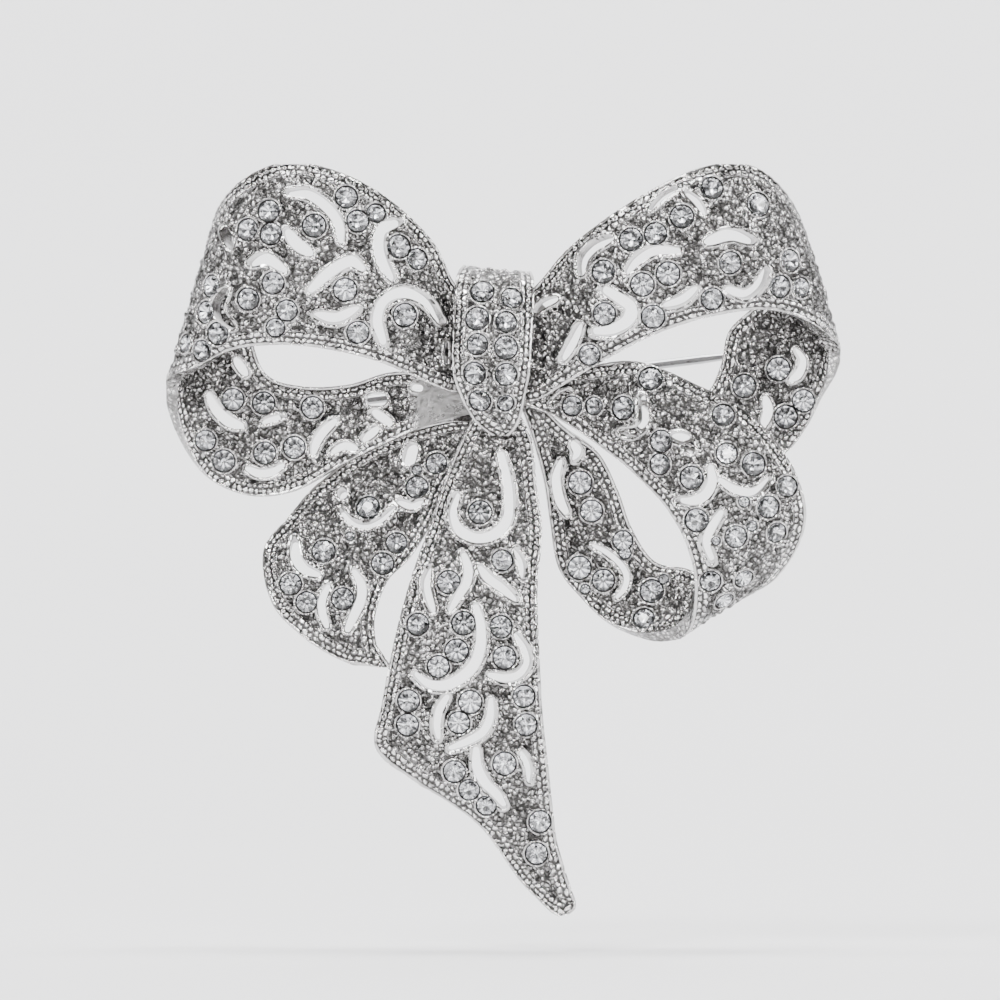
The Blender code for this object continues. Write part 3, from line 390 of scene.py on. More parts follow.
def granulated_ground():
    """Node group: cast granules, beaded border and stone seats, as colour with painted shade,
    shadow and glints, roughness, height.
    """
    group = bpy.data.node_groups.new("granulated_ground", "ShaderNodeTree")
    for label, kind, start in (("Metal", "NodeSocketColor", (0.8, 0.8, 0.82, 1)),
                               ("Shade And Dark Tone", "NodeSocketColor", (0.1, 0.1, 0.11, 1)),
                               ("Granule Size", "NodeSocketFloat", 0.3),
                               ("Bead Pitch", "NodeSocketFloat", 0.5)):
        socket = group.interface.new_socket(label, in_out="INPUT", socket_type=kind)
        socket.default_value = start
    for label, kind in (("Colour", "NodeSocketColor"), ("Roughness", "NodeSocketFloat"),
                        ("Height", "NodeSocketFloat")):
        group.interface.new_socket(label, in_out="OUTPUT", socket_type=kind)
    given = group.nodes.new("NodeGroupInput")
    result = group.nodes.new("NodeGroupOutput")
    place = group.nodes.new("ShaderNodeTexCoord")
    scaled = group.nodes.new("ShaderNodeVectorMath")
    scaled.operation = "SCALE"
    scaled.inputs["Scale"].default_value = 1000.0
    wire(group, place.outputs["Object"], scaled.inputs[0])

    def layer(label):
        node = group.nodes.new("ShaderNodeAttribute")
        node.attribute_name = label
        return node.outputs["Fac"]

    stone, slot, edge = layer("stone_gap"), layer("slot_gap"), layer("edge_gap")
    run, decorated = layer("edge_run"), layer("decorated")
    density = maths(group, "DIVIDE", 1.0, given.outputs["Granule Size"])
    warp = group.nodes.new("ShaderNodeTexNoise")
    warp.inputs["Scale"].default_value = 1.6
    wire(group, scaled.outputs[0], warp.inputs["Vector"])
    bent = group.nodes.new("ShaderNodeVectorMath")
    bent.operation = "MULTIPLY_ADD"
    wire(group, warp.outputs["Color"], bent.inputs[0])
    bent.inputs[1].default_value = (0.5, 0.5, 0.5)
    wire(group, scaled.outputs[0], bent.inputs[2])
    cells = group.nodes.new("ShaderNodeTexVoronoi")
    cells.inputs["Randomness"].default_value = 0.9
    wire(group, bent.outputs[0], cells.inputs["Vector"])
    wire(group, density, cells.inputs["Scale"])
    seams = group.nodes.new("ShaderNodeTexVoronoi")
    seams.feature = "DISTANCE_TO_EDGE"
    seams.inputs["Randomness"].default_value = 0.9
    wire(group, bent.outputs[0], seams.inputs["Vector"])
    wire(group, density, seams.inputs["Scale"])
    fine = group.nodes.new("ShaderNodeTexVoronoi")
    wire(group, bent.outputs[0], fine.inputs["Vector"])
    wire(group, maths(group, "MULTIPLY", density, 2.1), fine.inputs["Scale"])
    dome = band(group, cells.outputs["Distance"], 0.0, 0.75, 1.0, 0.0)
    dimple = band(group, fine.outputs["Distance"], 0.0, 0.7, 1.0, 0.0)
    lumps = maths(group, "MULTIPLY_ADD", dimple, 0.35, dome)

    # Two rows of beads along each edge
    loose = maths(group, "MULTIPLY_ADD", warp.outputs["Fac"], 0.3, edge)
    depth = maths(group, "DIVIDE", maths(group, "SUBTRACT", loose, 0.36), 0.5)
    rowed = maths(group, "FLOOR", depth, 0)
    across = maths(group, "SUBTRACT", maths(group, "FRACT", depth, 0), 0.5)
    wander = group.nodes.new("ShaderNodeSeparateColor")
    wire(group, warp.outputs["Color"], wander.inputs[0])
    steps = maths(group, "DIVIDE", run, given.outputs["Bead Pitch"])
    steps = maths(group, "MULTIPLY_ADD", wander.outputs[1], 1.6, steps)
    staggered = maths(group, "MULTIPLY_ADD", rowed, 0.5, steps)
    along = maths(group, "SUBTRACT", maths(group, "FRACT", staggered, 0), 0.5)
    off = maths(group, "ADD", maths(group, "MULTIPLY", across, across),
                maths(group, "MULTIPLY", along, along))
    bead = band(group, off, 0.03, 0.26, 1.0, 0.0)
    in_border = maths(group, "MULTIPLY", band(group, edge, 0.2, 0.28),
                      band(group, edge, 1.12, 1.2, 1.0, 0.0))
    in_border = maths(group, "MULTIPLY", in_border, decorated)
    in_ground = maths(group, "MULTIPLY", band(group, edge, 1.12, 1.25), decorated)
    near_rim = maths(group, "MULTIPLY", band(group, slot, 0.2, 0.32),
                     band(group, stone, 0.16, 0.26))
    in_ground = maths(group, "MULTIPLY", in_ground, near_rim)
    in_border = maths(group, "MULTIPLY", in_border, near_rim)
    on_wall = maths(group, "MULTIPLY", band(group, edge, 0.01, 0.04, 1.0, 0.0), decorated)
    in_ground = maths(group, "MULTIPLY_ADD", on_wall, 0.75, in_ground)
    plain = maths(group, "SUBTRACT", 1.0, maths(group, "ADD", in_ground, in_border))

    height = maths(group, "MULTIPLY", lumps, in_ground)
    height = maths(group, "MULTIPLY_ADD", bead, in_border, height)
    wavy = group.nodes.new("ShaderNodeTexNoise")
    wavy.inputs["Scale"].default_value = 0.9
    wavy.inputs["Detail"].default_value = 5.0
    wire(group, scaled.outputs[0], wavy.inputs["Vector"])
    back = maths(group, "SUBTRACT", 1.0, decorated)
    skin = group.nodes.new("ShaderNodeTexNoise")
    skin.inputs["Scale"].default_value = 3.2
    skin.inputs["Detail"].default_value = 3.0
    wire(group, scaled.outputs[0], skin.inputs["Vector"])
    height = maths(group, "MULTIPLY_ADD", wavy.outputs["Fac"], 0.45, height)
    height = maths(group, "MULTIPLY_ADD", maths(group, "MULTIPLY", skin.outputs["Fac"], back),
                   0.45, height)
    wire(group, height, result.inputs["Height"])

    # Painted shade darkens the pits between granules and each granule towards its edge, a painted
    # glint makes each granule lighter or darker at random, and a broad mottle varies the metal's
    # tone
    painted_light_tone = band(group, seams.outputs["Distance"], 0.0, 0.12, 0.0, 1.0)
    painted_light_tone = maths(group, "MULTIPLY", painted_light_tone,
                 band(group, cells.outputs["Distance"], 0.2, 0.62, 1.0, 0.2))
    painted_glint = group.nodes.new("ShaderNodeSeparateColor")
    wire(group, cells.outputs["Color"], painted_glint.inputs[0])
    painted_glint_spread = band(group, painted_glint.outputs[0], 0.1, 0.55, 0.3, 1.0)
    painted_light_tone = maths(group, "MULTIPLY", painted_light_tone, painted_glint_spread)
    painted_light_tone = maths(group, "MULTIPLY", painted_light_tone,
                 band(group, wavy.outputs["Fac"], 0.36, 0.6, 0.55, 1.25))
    # Painted shade darkens each bead towards its edge, and a painted glint makes each bead lighter
    # or darker at random
    bead_painted_light = band(group, off, 0.05, 0.27, 1.0, 0.05)
    bead_painted_light = maths(group, "MULTIPLY", bead_painted_light,
                      band(group, painted_glint.outputs[1], 0.1, 0.6, 0.45, 1.0))
    share = maths(group, "MULTIPLY", painted_light_tone, in_ground)
    share = maths(group, "MULTIPLY_ADD", bead_painted_light, in_border, share)
    stain = band(group, wavy.outputs["Fac"], 0.3, 0.68, 0.48, 0.7)
    stain = maths(group, "MULTIPLY", stain,
                  maths(group, "MULTIPLY_ADD", back, -0.55, 1.0))
    share = maths(group, "MULTIPLY_ADD", plain, stain, share)
    # Painted shadow: a dark, rougher ring in the gap round each stone's girdle
    gap = maths(group, "MULTIPLY", band(group, stone, -0.05, -0.01),
                band(group, stone, 0.06, 0.12, 1.0, 0.0))
    gap = maths(group, "MULTIPLY", gap, decorated)
    share = maths(group, "MULTIPLY", share, maths(group, "SUBTRACT", 1.0, gap))
    # Blend from the dark colour (painted shade and darker tone) to the plated metal
    colour = blend_colour(group, share, given.outputs["Shade And Dark Tone"], given.outputs["Metal"])
    wire(group, colour, result.inputs["Colour"])
    rough = maths(group, "MULTIPLY_ADD", in_ground, 0.05, 0.12)
    rough = maths(group, "MULTIPLY_ADD", gap, 0.4, rough)
    rough = maths(group, "MULTIPLY_ADD", wavy.outputs["Fac"], 0.08, rough)
    rough = maths(group, "MULTIPLY_ADD", back, 0.12, rough)
    wire(group, rough, result.inputs["Roughness"])
    return group


ground_group = granulated_ground()


def cast_finish(name, granule, pitch):
    """Bright plated casting with a granulated ground, its granules and beads sized in mm, with
    painted shade and glints in its colour.
    """
    made = bpy.data.materials.new(name)
    made.use_nodes = True
    tree = made.node_tree
    shader = tree.nodes["Principled BSDF"]
    shader.inputs["Metallic"].default_value = 1.0
    effect = tree.nodes.new("ShaderNodeGroup")
    effect.node_tree = ground_group
    effect.inputs["Metal"].default_value = PLATING
    effect.inputs["Shade And Dark Tone"].default_value = PAINTED_SHADE_AND_DARK_TONE
    effect.inputs["Granule Size"].default_value = granule
    effect.inputs["Bead Pitch"].default_value = pitch
    relief = tree.nodes.new("ShaderNodeBump")
    relief.inputs["Strength"].default_value = 1.0
    relief.inputs["Distance"].default_value = 0.00016
    wire(tree, effect.outputs["Height"], relief.inputs["Height"])
    wire(tree, effect.outputs["Colour"], shader.inputs["Base Color"])
    wire(tree, effect.outputs["Roughness"], shader.inputs["Roughness"])
    wire(tree, relief.outputs[0], shader.inputs["Normal"])
    return made


upper_left_ribs = (
    ((-2.6, 4.3), (-2.6, -3.6), -4.0, -4.0, 0.0), ((-4.4, 6.2), (-4.4, -3.6), -4.3, -4.3, 0.2),
    ((-6.3, 9.6), (-6.4, -2.8), -4.8, -4.8, 0.5), ((-10.1, 13.2), (-11.2, -0.7), -5.8, -5.4, 0.9),
    ((-14.4, 15.5), (-17.4, 0.5), -6.2, -5.8, 1.0), ((-18.8, 16.2), (-22.8, 0.2), -5.6, -5.2, 0.9),
    ((-22.5, 14.4), (-26.2, -1.5), -4.2, -3.9, 0.5),
    ((-24.7, 10.9), (-28.8, -3.0), -1.0, -1.0, 0.1), ((-24.3, 6.6), (-28.3, -7.0), 1.4, 1.2, 0.0),
    ((-22.3, 2.2), (-26.0, -10.9), 2.2, 2.2, 0.0), ((-20.7, -1.9), (-22.3, -12.7), 2.4, 2.3, 0.0),
    ((-17.6, -3.1), (-18.2, -12.4), 2.2, 2.1, 0.0), ((-13.4, -3.0), (-13.9, -10.1), 1.8, 1.7, 0.0),
    ((-9.5, -1.9), (-10.1, -8.2), 1.3, 1.2, 0.0), ((-5.7, -2.0), (-5.7, -6.3), 0.8, 0.8, 0.0),
    ((-2.6, -2.0), (-2.6, -5.6), 0.6, 0.6, 0.0))
upper_left_slots = (
    (((-18.3, 13.6), (-16.7, 13.5), (-15.1, 12.4), (-14.1, 11.0), (-13.9, 9.5)), 0.95, 0.4),
    (((-18.6, 10.3), (-17.7, 9.2), (-16.5, 8.4)), 1.05, 0.5),
    (((-21.6, 7.5), (-20.3, 7.9), (-18.7, 6.9)), 0.95, 0.5),
    (((-16.5, 5.2), (-14.9, 6.7), (-13.1, 7.7), (-12.0, 7.1)), 0.95, 0.4),
    (((-16.0, 3.1), (-14.3, 2.8), (-12.5, 3.6)), 1.0, 0.5),
    (((-9.0, 11.1), (-10.3, 10.5), (-10.6, 9.0), (-10.2, 7.5), (-9.5, 6.3)), 1.1, 0.4),
    (((-10.2, 0.6), (-10.7, 2.6), (-10.1, 4.3), (-8.4, 5.0), (-6.6, 4.2), (-5.4, 2.5)), 0.95, 0.4),
    (((-23.6, 10.4), (-23.2, 9.0)), 0.75, 0.3),
    (((-23.7, 5.1), (-24.3, 3.9), (-24.1, 2.9), (-23.3, 2.1)), 1.0, 0.4),
    (((-4.9, 0.6), (-4.9, -1.1)), 0.28, 0.2))
upper_left_return_slots = (
    (((-25.7, -3.9), (-25.0, -5.2), (-23.9, -6.2), (-22.8, -6.6)), 0.95, 0.4),
    (((-23.3, -0.8), (-22.4, -2.0)), 0.8, 0.4),
    (((-20.8, -6.3), (-19.9, -6.0), (-19.1, -5.8)), 0.5, 0.4),
    (((-22.2, -10.4), (-21.2, -10.8), (-20.1, -10.7), (-19.1, -10.1)), 0.7, 0.4),
    (((-16.4, -9.0), (-16.1, -8.0), (-15.4, -7.0), (-14.5, -6.2)), 0.85, 0.4),
    (((-14.7, -8.9), (-13.7, -8.4), (-12.6, -8.6)), 0.7, 0.4),
    (((-11.9, -7.8), (-11.3, -7.3), (-10.8, -6.9)), 0.8, 0.3),
    (((-11.2, -4.3), (-10.4, -4.3)), 1.1, 0.0),
    (((-11.1, -5.4), (-10.3, -5.9), (-9.6, -6.4)), 0.8, 0.4),
    (((-7.5, -3.25), (-7.0, -3.3)), 0.6, 0.0))
upper_left_stones = (
    (-22.1, 10.5, 0.95), (-20.2, 12.1, 0.95), (-20.0, 10.1, 0.95), (-16.2, 10.8, 1.0),
    (-13.4, 13.3, 0.95), (-12.4, 11.2, 0.95), (-10.8, 11.9, 0.8), (-8.8, 9.0, 1.0),
    (-7.2, 7.9, 0.9), (-13.5, 5.2, 1.0), (-8.3, 3.0, 1.0), (-12.4, 1.5, 0.95),
    (-19.8, 5.8, 0.95), (-22.0, 4.4, 0.95), (-18.6, 3.4, 0.9), (-19.6, 1.9, 0.8),
    (-25.3, 5.6, 0.95), (-25.8, 3.3, 0.95), (-24.7, 1.4, 0.95), (-26.1, -0.1, 0.9),
    (-27.6, 0.6, 0.8))
upper_left_return_stones = (
    (-23.5, -4.3, 0.95), (-20.8, -4.6, 0.95), (-16.5, -5.0, 0.95), (-18.1, -8.5, 0.95),
    (-20.7, -9.0, 0.95), (-24.3, -9.7, 0.95), (-25.9, -7.9, 0.9))
upper_left, upper_left_seats = cast_ribbon(
    "upper_left_loop", upper_left_ribs, 7, upper_left_slots, upper_left_return_slots,
    upper_left_stones, upper_left_return_stones, 11, bare=13.4)
upper_left.data.materials.append(cast_finish("upper_left_plating", 0.42, 0.58))


# ---------------------------------------------------------------------------
# Upper right loop. The same casting in the other hand, a little narrower and
# more curled. The pin wire shows through its eye.

upper_right_ribs = (
    ((1.8, 4.2), (1.8, -4.6), -4.0, -4.0, 0.0), ((3.6, 5.9), (3.5, -4.3), -4.4, -4.4, 0.2),
    ((6.0, 8.6), (5.3, -3.2), -4.8, -4.8, 0.5), ((9.6, 11.4), (9.6, -0.5), -5.6, -5.6, 0.9),
    ((13.6, 13.9), (14.0, 1.7), -6.2, -6.2, 1.0), ((17.5, 15.7), (18.6, 3.1), -6.2, -6.2, 1.0),
    ((21.0, 16.1), (23.2, 3.6), -5.2, -5.2, 0.9), ((23.8, 14.4), (26.7, 2.5), -3.5, -3.5, 0.7),
    ((25.8, 11.2), (29.2, 0.2), -0.8, -0.8, 0.4), ((25.4, 7.7), (29.2, -1.9), 1.2, 1.0, 0.2),
    ((22.9, 4.4), (28.2, -4.2), 2.3, 2.1, 0.0), ((20.2, 1.8), (27.0, -6.7), 2.6, 2.5, 0.0),
    ((19.4, -1.4), (24.9, -9.1), 2.6, 2.6, 0.0), ((17.9, -3.9), (21.4, -9.7), 2.4, 2.4, 0.0),
    ((14.4, -4.4), (16.6, -8.8), 2.2, 2.2, 0.0), ((8.8, -3.9), (9.6, -7.0), 1.6, 1.6, 0.0),
    ((1.8, -2.4), (1.8, -4.5), 1.1, 1.1, 0.0))
upper_right_slots = (
    (((9.8, 9.6), (8.4, 8.9), (7.5, 7.9), (7.3, 6.7)), 0.95, 0.35),
    (((15.4, 13.9), (14.3, 13.2), (13.3, 12.2)), 0.6, 0.4),
    (((16.3, 13.6), (17.2, 12.8), (17.8, 11.8)), 0.65, 0.4),
    (((11.2, 6.8), (12.1, 7.8), (13.5, 8.6), (15.5, 8.6)), 0.85, 0.4),
    (((18.1, 9.4), (20.0, 10.0), (21.8, 9.5)), 1.0, 0.35),
    (((9.2, 5.2), (10.4, 4.5), (11.4, 3.7), (11.2, 2.6), (9.9, 1.8), (8.4, 1.6)), 1.1, 0.35),
    (((14.5, 3.9), (15.9, 4.4), (17.0, 5.3)), 0.85, 0.3),
    (((19.8, 5.3), (21.3, 4.9), (22.4, 5.7), (23.0, 6.9)), 0.85, 0.3),
    (((3.3, 3.4), (4.1, 4.0), (5.1, 4.4)), 0.7, 0.4),
    (((7.1, 2.1), (6.4, 0.6), (5.6, -0.7)), 0.8, 0.35))
upper_right_return_slots = (
    (((26.1, 0.1), (26.7, -0.8), (26.4, -1.9), (25.6, -2.6)), 0.8, 0.5),
    (((23.4, -4.2), (23.6, -5.3), (23.2, -6.5)), 0.85, 0.4),
    (((12.5, -5.3), (12.65, -5.8), (12.4, -6.4)), 1.1, 0.2),
    (((15.3, -7.3), (16.4, -7.5)), 1.0, 0.3))
upper_right_stones = (
    (18.5, 14.1, 0.95), (22.6, 12.7, 1.05), (15.85, 11.6, 1.0), (11.4, 9.6, 1.0),
    (13.55, 10.1, 0.95), (9.0, 6.8, 1.0), (12.4, 5.65, 1.0), (14.65, 6.6, 1.0),
    (9.1, 3.1, 0.95), (13.35, 2.85, 1.0), (20.1, 7.55, 0.95), (18.5, 4.4, 0.95),
    (25.4, 7.8, 0.95), (24.5, 5.5, 0.95), (26.4, 5.45, 0.85), (7.8, -0.45, 0.9))
upper_right_return_stones = (
    (24.5, -1.6, 1.0), (21.5, -3.1, 1.0), (26.7, -4.4, 0.95), (25.15, -5.8, 1.0))
upper_right, upper_right_seats = cast_ribbon(
    "upper_right_loop", upper_right_ribs, 8, upper_right_slots, upper_right_return_slots,
    upper_right_stones, upper_right_return_stones, 12)
upper_right.data.materials.append(cast_finish("upper_right_plating", 0.42, 0.64))


# ---------------------------------------------------------------------------
# Lower right loop. A smaller folded ribbon, cast like the others, that springs
# from behind the upper right front sheet and lies in front of that loop's return.

lower_right_ribs = (
    ((1.8, -2.2), (1.8, -4.7), -1.9, -1.9, 0.0), ((4.6, -1.8), (4.9, -5.9), -2.1, -2.1, 0.0),
    ((7.9, -1.4), (8.3, -7.9), -2.7, -2.7, 0.2), ((12.3, -1.2), (11.6, -10.3), -3.9, -3.8, 0.7),
    ((17.1, -3.2), (14.4, -13.2), -4.8, -4.8, 0.9), ((21.4, -5.5), (16.1, -16.0), -5.2, -5.2, 1.0),
    ((24.9, -9.4), (17.0, -19.1), -5.0, -5.0, 0.9),
    ((26.5, -13.6), (16.9, -21.9), -4.2, -4.2, 0.6),
    ((25.7, -17.0), (16.3, -23.9), -2.8, -2.8, 0.3),
    ((23.3, -20.0), (15.2, -24.9), -0.6, -0.6, 0.0), ((20.0, -20.8), (12.7, -25.1), 1.2, 1.2, 0.0),
    ((16.6, -19.3), (9.6, -24.0), 2.2, 2.2, 0.0), ((13.6, -18.5), (7.0, -21.6), 2.4, 2.4, 0.0),
    ((11.6, -15.6), (5.1, -19.0), 2.2, 2.2, 0.0), ((10.3, -12.1), (4.4, -15.1), 1.8, 1.8, 0.0),
    ((8.6, -8.9), (3.9, -11.7), 1.3, 1.3, 0.0), ((5.9, -6.9), (3.1, -8.6), 0.5, 0.5, 0.0),
    ((3.8, -5.0), (2.4, -6.4), -0.1, -0.1, 0.0), ((1.8, -3.6), (1.8, -4.8), -0.3, -0.3, 0.0))
lower_right_slots = (
    (((12.5, -4.2), (12.7, -5.4), (12.6, -6.5), (11.8, -7.2), (10.9, -7.1)), 0.9, 0.4),
    (((4.6, -4.8), (5.3, -4.1), (6.1, -3.6)), 0.5, 0.4),
    (((15.2, -7.6), (16.2, -7.9), (16.7, -8.8)), 1.0, 0.4),
    (((18.4, -10.3), (18.5, -11.6), (17.9, -12.7), (16.9, -13.2), (15.8, -13.2)), 0.85, 0.4),
    (((19.2, -11.4), (20.5, -12.2), (22.1, -12.4), (23.4, -11.3)), 0.7, 0.4),
    (((19.3, -14.2), (18.5, -15.5), (18.0, -16.8), (18.5, -18.3)), 0.75, 0.35))
lower_right_return_slots = (
    (((8.2, -17.1), (9.5, -17.8), (10.7, -18.9), (11.15, -20.0), (10.9, -21.0), (10.3, -21.7)),
     0.5, 0.4),
    (((5.3, -9.7), (4.9, -11.2), (5.2, -13.0), (5.8, -14.2)), 0.85, 0.4),
    (((6.3, -8.0), (6.8, -8.8), (6.5, -9.5)), 0.8, 0.5))
lower_right_stones = (
    (13.15, -2.5, 1.0), (10.75, -5.1, 1.0), (19.5, -5.7, 0.95), (14.05, -8.0, 0.95),
    (13.95, -10.0, 0.9), (19.8, -9.05, 0.9), (22.15, -10.0, 1.0), (16.7, -11.2, 1.0),
    (17.15, -14.9, 1.0), (20.6, -16.35, 0.95), (23.45, -13.75, 0.95), (25.1, -11.95, 0.9),
    (24.2, -16.0, 0.85), (18.4, -20.25, 0.9), (21.35, -20.05, 0.85), (19.65, -22.0, 0.85),
    (6.3, -4.9, 0.85), (8.2, -4.9, 0.75), (22.0, -15.4, 0.45), (18.85, -16.7, 0.35),
    (21.3, -13.3, 0.45))
lower_right_return_stones = (
    (7.05, -11.6, 1.0), (8.05, -14.1, 0.95), (10.8, -16.7, 0.85), (7.0, -19.1, 1.0),
    (9.1, -20.2, 0.95), (13.35, -21.15, 1.0), (12.65, -23.55, 0.9), (14.4, -20.1, 0.4),
    (7.5, -21.0, 0.4), (11.0, -17.8, 0.5))
lower_right, lower_right_seats = cast_ribbon(
    "lower_right_loop", lower_right_ribs, 9, lower_right_slots, lower_right_return_slots,
    lower_right_stones, lower_right_return_stones, 13)
lower_right.data.materials.append(cast_finish("lower_right_plating", 0.42, 0.58))


# ---------------------------------------------------------------------------
# Lower left tail. Short cast ribbon end behind the upper left loop, with a bead
# border down both edges, which run together in a rounded sweep at its end.

lower_left_ribs = (
    ((-2.2, -5.65), (1.2, -5.65), 0.7, 0.7, 0.0), ((-5.0, -6.1), (-1.2, -8.0), 1.7, 1.2, 0.0),
    ((-8.8, -7.4), (-4.3, -11.4), 2.8, 1.4, 0.2), ((-12.3, -9.2), (-6.0, -15.2), 3.5, 1.0, 0.5),
    ((-16.2, -12.2), (-7.9, -18.2), 3.4, 0.6, 0.6), ((-18.6, -15.0), (-9.9, -20.3), 2.2, 0.3, 0.6),
    ((-20.7, -17.7), (-11.0, -23.2), 1.0, 0.1, 0.5),
    ((-20.0, -22.0), (-11.0, -25.4), 0.4, 0.0, 0.4),
    ((-17.6, -24.7), (-10.6, -26.4), 0.1, 0.0, 0.3),
    ((-14.3, -26.9), (-10.0, -27.2), 0.0, 0.0, 0.1),
    ((-12.0, -27.5), (-9.5, -27.8), 0.0, 0.0, 0.0))
lower_left_slots = (
    (((-18.0, -16.9), (-17.9, -18.2), (-17.2, -19.2), (-16.0, -19.7)), 0.95, 0.4),
    (((-13.9, -14.2), (-13.0, -15.2), (-11.8, -15.5), (-10.5, -15.0), (-9.3, -13.9)), 0.65, 0.4),
    (((-12.8, -19.4), (-12.2, -20.6), (-12.2, -21.8), (-12.8, -23.2), (-13.4, -24.5)), 0.85, 0.4),
    (((-15.1, -20.7), (-15.6, -21.9), (-15.6, -23.0), (-15.2, -24.2)), 0.7, 0.4),
    (((-8.9, -13.3), (-7.8, -13.7), (-6.9, -13.3)), 0.7, 0.4),
    (((-7.7, -8.8), (-7.9, -9.6)), 1.2, 0.0),
    (((-13.75, -12.7), (-13.75, -12.8)), 0.9, 0.0))
lower_left_stones = (
    (-15.5, -17.6, 1.0), (-11.6, -13.8, 1.0), (-9.1, -16.9, 0.9), (-10.3, -18.7, 0.95),
    (-18.4, -20.5, 0.95), (-17.0, -22.1, 0.9), (-13.8, -21.8, 0.95), (-5.6, -9.9, 0.9),
    (-7.3, -12.0, 0.95), (-7.3, -10.5, 0.4), (-13.2, -16.3, 0.4))
lower_left, lower_left_seats = cast_ribbon(
    "lower_left_tail", lower_left_ribs, 0, lower_left_slots, (), lower_left_stones, (), 14)
lower_left.data.materials.append(cast_finish("lower_left_plating", 0.42, 0.58))


# ---------------------------------------------------------------------------
# Centre tail. The long cast ribbon end that hangs from under the knot, soldered to
# the core. Its lower edge is cut in a hollow slant down to a blunt point.

centre_ribs = (
    ((-1.9, -5.2), (1.5, -5.2), -3.3, -3.3, 0.0), ((-3.3, -7.9), (2.7, -7.9), -3.2, -3.2, 0.3),
    ((-4.7, -11.4), (3.0, -11.4), -2.9, -2.9, 0.6), ((-6.1, -15.8), (3.5, -15.8), -2.8, -2.8, 0.8),
    ((-7.6, -20.0), (3.1, -21.0), -3.3, -3.3, 0.9), ((-9.0, -25.0), (3.3, -26.7), -3.6, -3.6, 0.9),
    ((-10.2, -30.9), (3.6, -31.9), -3.3, -3.3, 0.9),
    ((-10.8, -34.6), (4.1, -36.3), -3.0, -3.0, 0.8),
    ((-8.0, -36.9), (4.5, -40.0), -2.7, -2.7, 0.7), ((-4.5, -39.0), (4.9, -43.0), -2.4, -2.4, 0.5),
    ((-1.5, -41.6), (5.6, -45.4), -2.2, -2.2, 0.3), ((1.5, -46.0), (6.3, -47.4), -2.0, -2.0, 0.1),
    ((3.1, -47.9), (6.6, -48.2), -1.9, -1.9, 0.0), ((4.3, -49.1), (6.6, -48.9), -1.9, -1.9, 0.0),
    ((5.1, -49.6), (6.1, -49.4), -1.9, -1.9, 0.0))
centre_slots = (
    (((-3.7, -12.8), (-4.1, -14.3), (-3.5, -15.8), (-2.0, -16.5), (-0.4, -16.1),
      (0.6, -14.9), (0.8, -13.2), (0.6, -11.2), (0.1, -9.2)), 0.95, 0.35),
    (((-6.1, -19.2), (-6.4, -20.4), (-6.2, -21.6), (-5.8, -22.8)), 0.8, 0.4),
    (((-3.2, -17.9), (-2.8, -19.1), (-2.9, -20.3), (-3.6, -21.5), (-4.3, -22.7)), 0.8, 0.4),
    (((-1.7, -19.1), (-1.0, -20.0), (0.1, -20.8), (1.3, -21.8)), 0.9, 0.4),
    (((1.3, -17.6), (1.8, -18.7), (1.9, -19.9)), 0.7, 0.4),
    (((-2.1, -22.5), (-1.7, -24.0), (-1.7, -25.8), (-2.2, -27.4), (-3.3, -28.6),
      (-4.7, -29.3), (-6.2, -29.2), (-7.3, -28.4)), 0.95, 0.4),
    (((1.4, -25.0), (2.1, -26.2), (2.3, -27.4), (1.6, -28.4), (0.4, -28.7), (-0.9, -28.4)),
     0.8, 0.4),
    (((-4.6, -30.3), (-5.3, -31.5), (-5.5, -32.8), (-5.4, -33.9)), 0.7, 0.4),
    (((-0.8, -30.6), (-0.9, -32.2), (-1.5, -33.4), (-2.8, -34.2), (-4.3, -34.8)), 0.8, 0.4),
    (((-2.1, -34.9), (-2.0, -36.5), (-1.3, -37.9), (-0.4, -38.8), (0.3, -39.8)), 0.9, 0.4),
    (((1.8, -35.2), (2.4, -36.4), (2.5, -37.7)), 0.6, 0.4))
centre_stones = (
    (-1.75, -14.2, 1.0), (0.2, -18.4, 0.9), (-4.5, -20.3, 1.0), (-7.2, -24.0, 0.95),
    (-3.2, -23.9, 1.0), (0.1, -24.2, 0.95), (-3.8, -26.3, 1.0), (-5.4, -27.7, 0.95),
    (0.4, -26.9, 1.0), (-8.0, -30.7, 0.95), (-8.1, -32.8, 0.95), (-2.6, -30.8, 1.0),
    (-3.6, -32.6, 0.95), (2.1, -30.3, 0.95), (2.3, -32.8, 0.95), (0.4, -36.2, 1.0),
    (-4.0, -36.9, 0.95), (-2.7, -38.5, 0.9), (-1.2, -39.9, 0.85), (3.5, -41.3, 0.95),
    (3.2, -44.1, 0.95))
centre, centre_seats = cast_ribbon(
    "centre_tail", centre_ribs, 0, centre_slots, (), centre_stones, (), 15)
centre.data.materials.append(cast_finish("centre_plating", 0.42, 0.58))


# ---------------------------------------------------------------------------
# Knot band. Short strip wrapped over the crossing from behind the top to its
# pointed lower end, soldered to the core, set with two rows of stones.

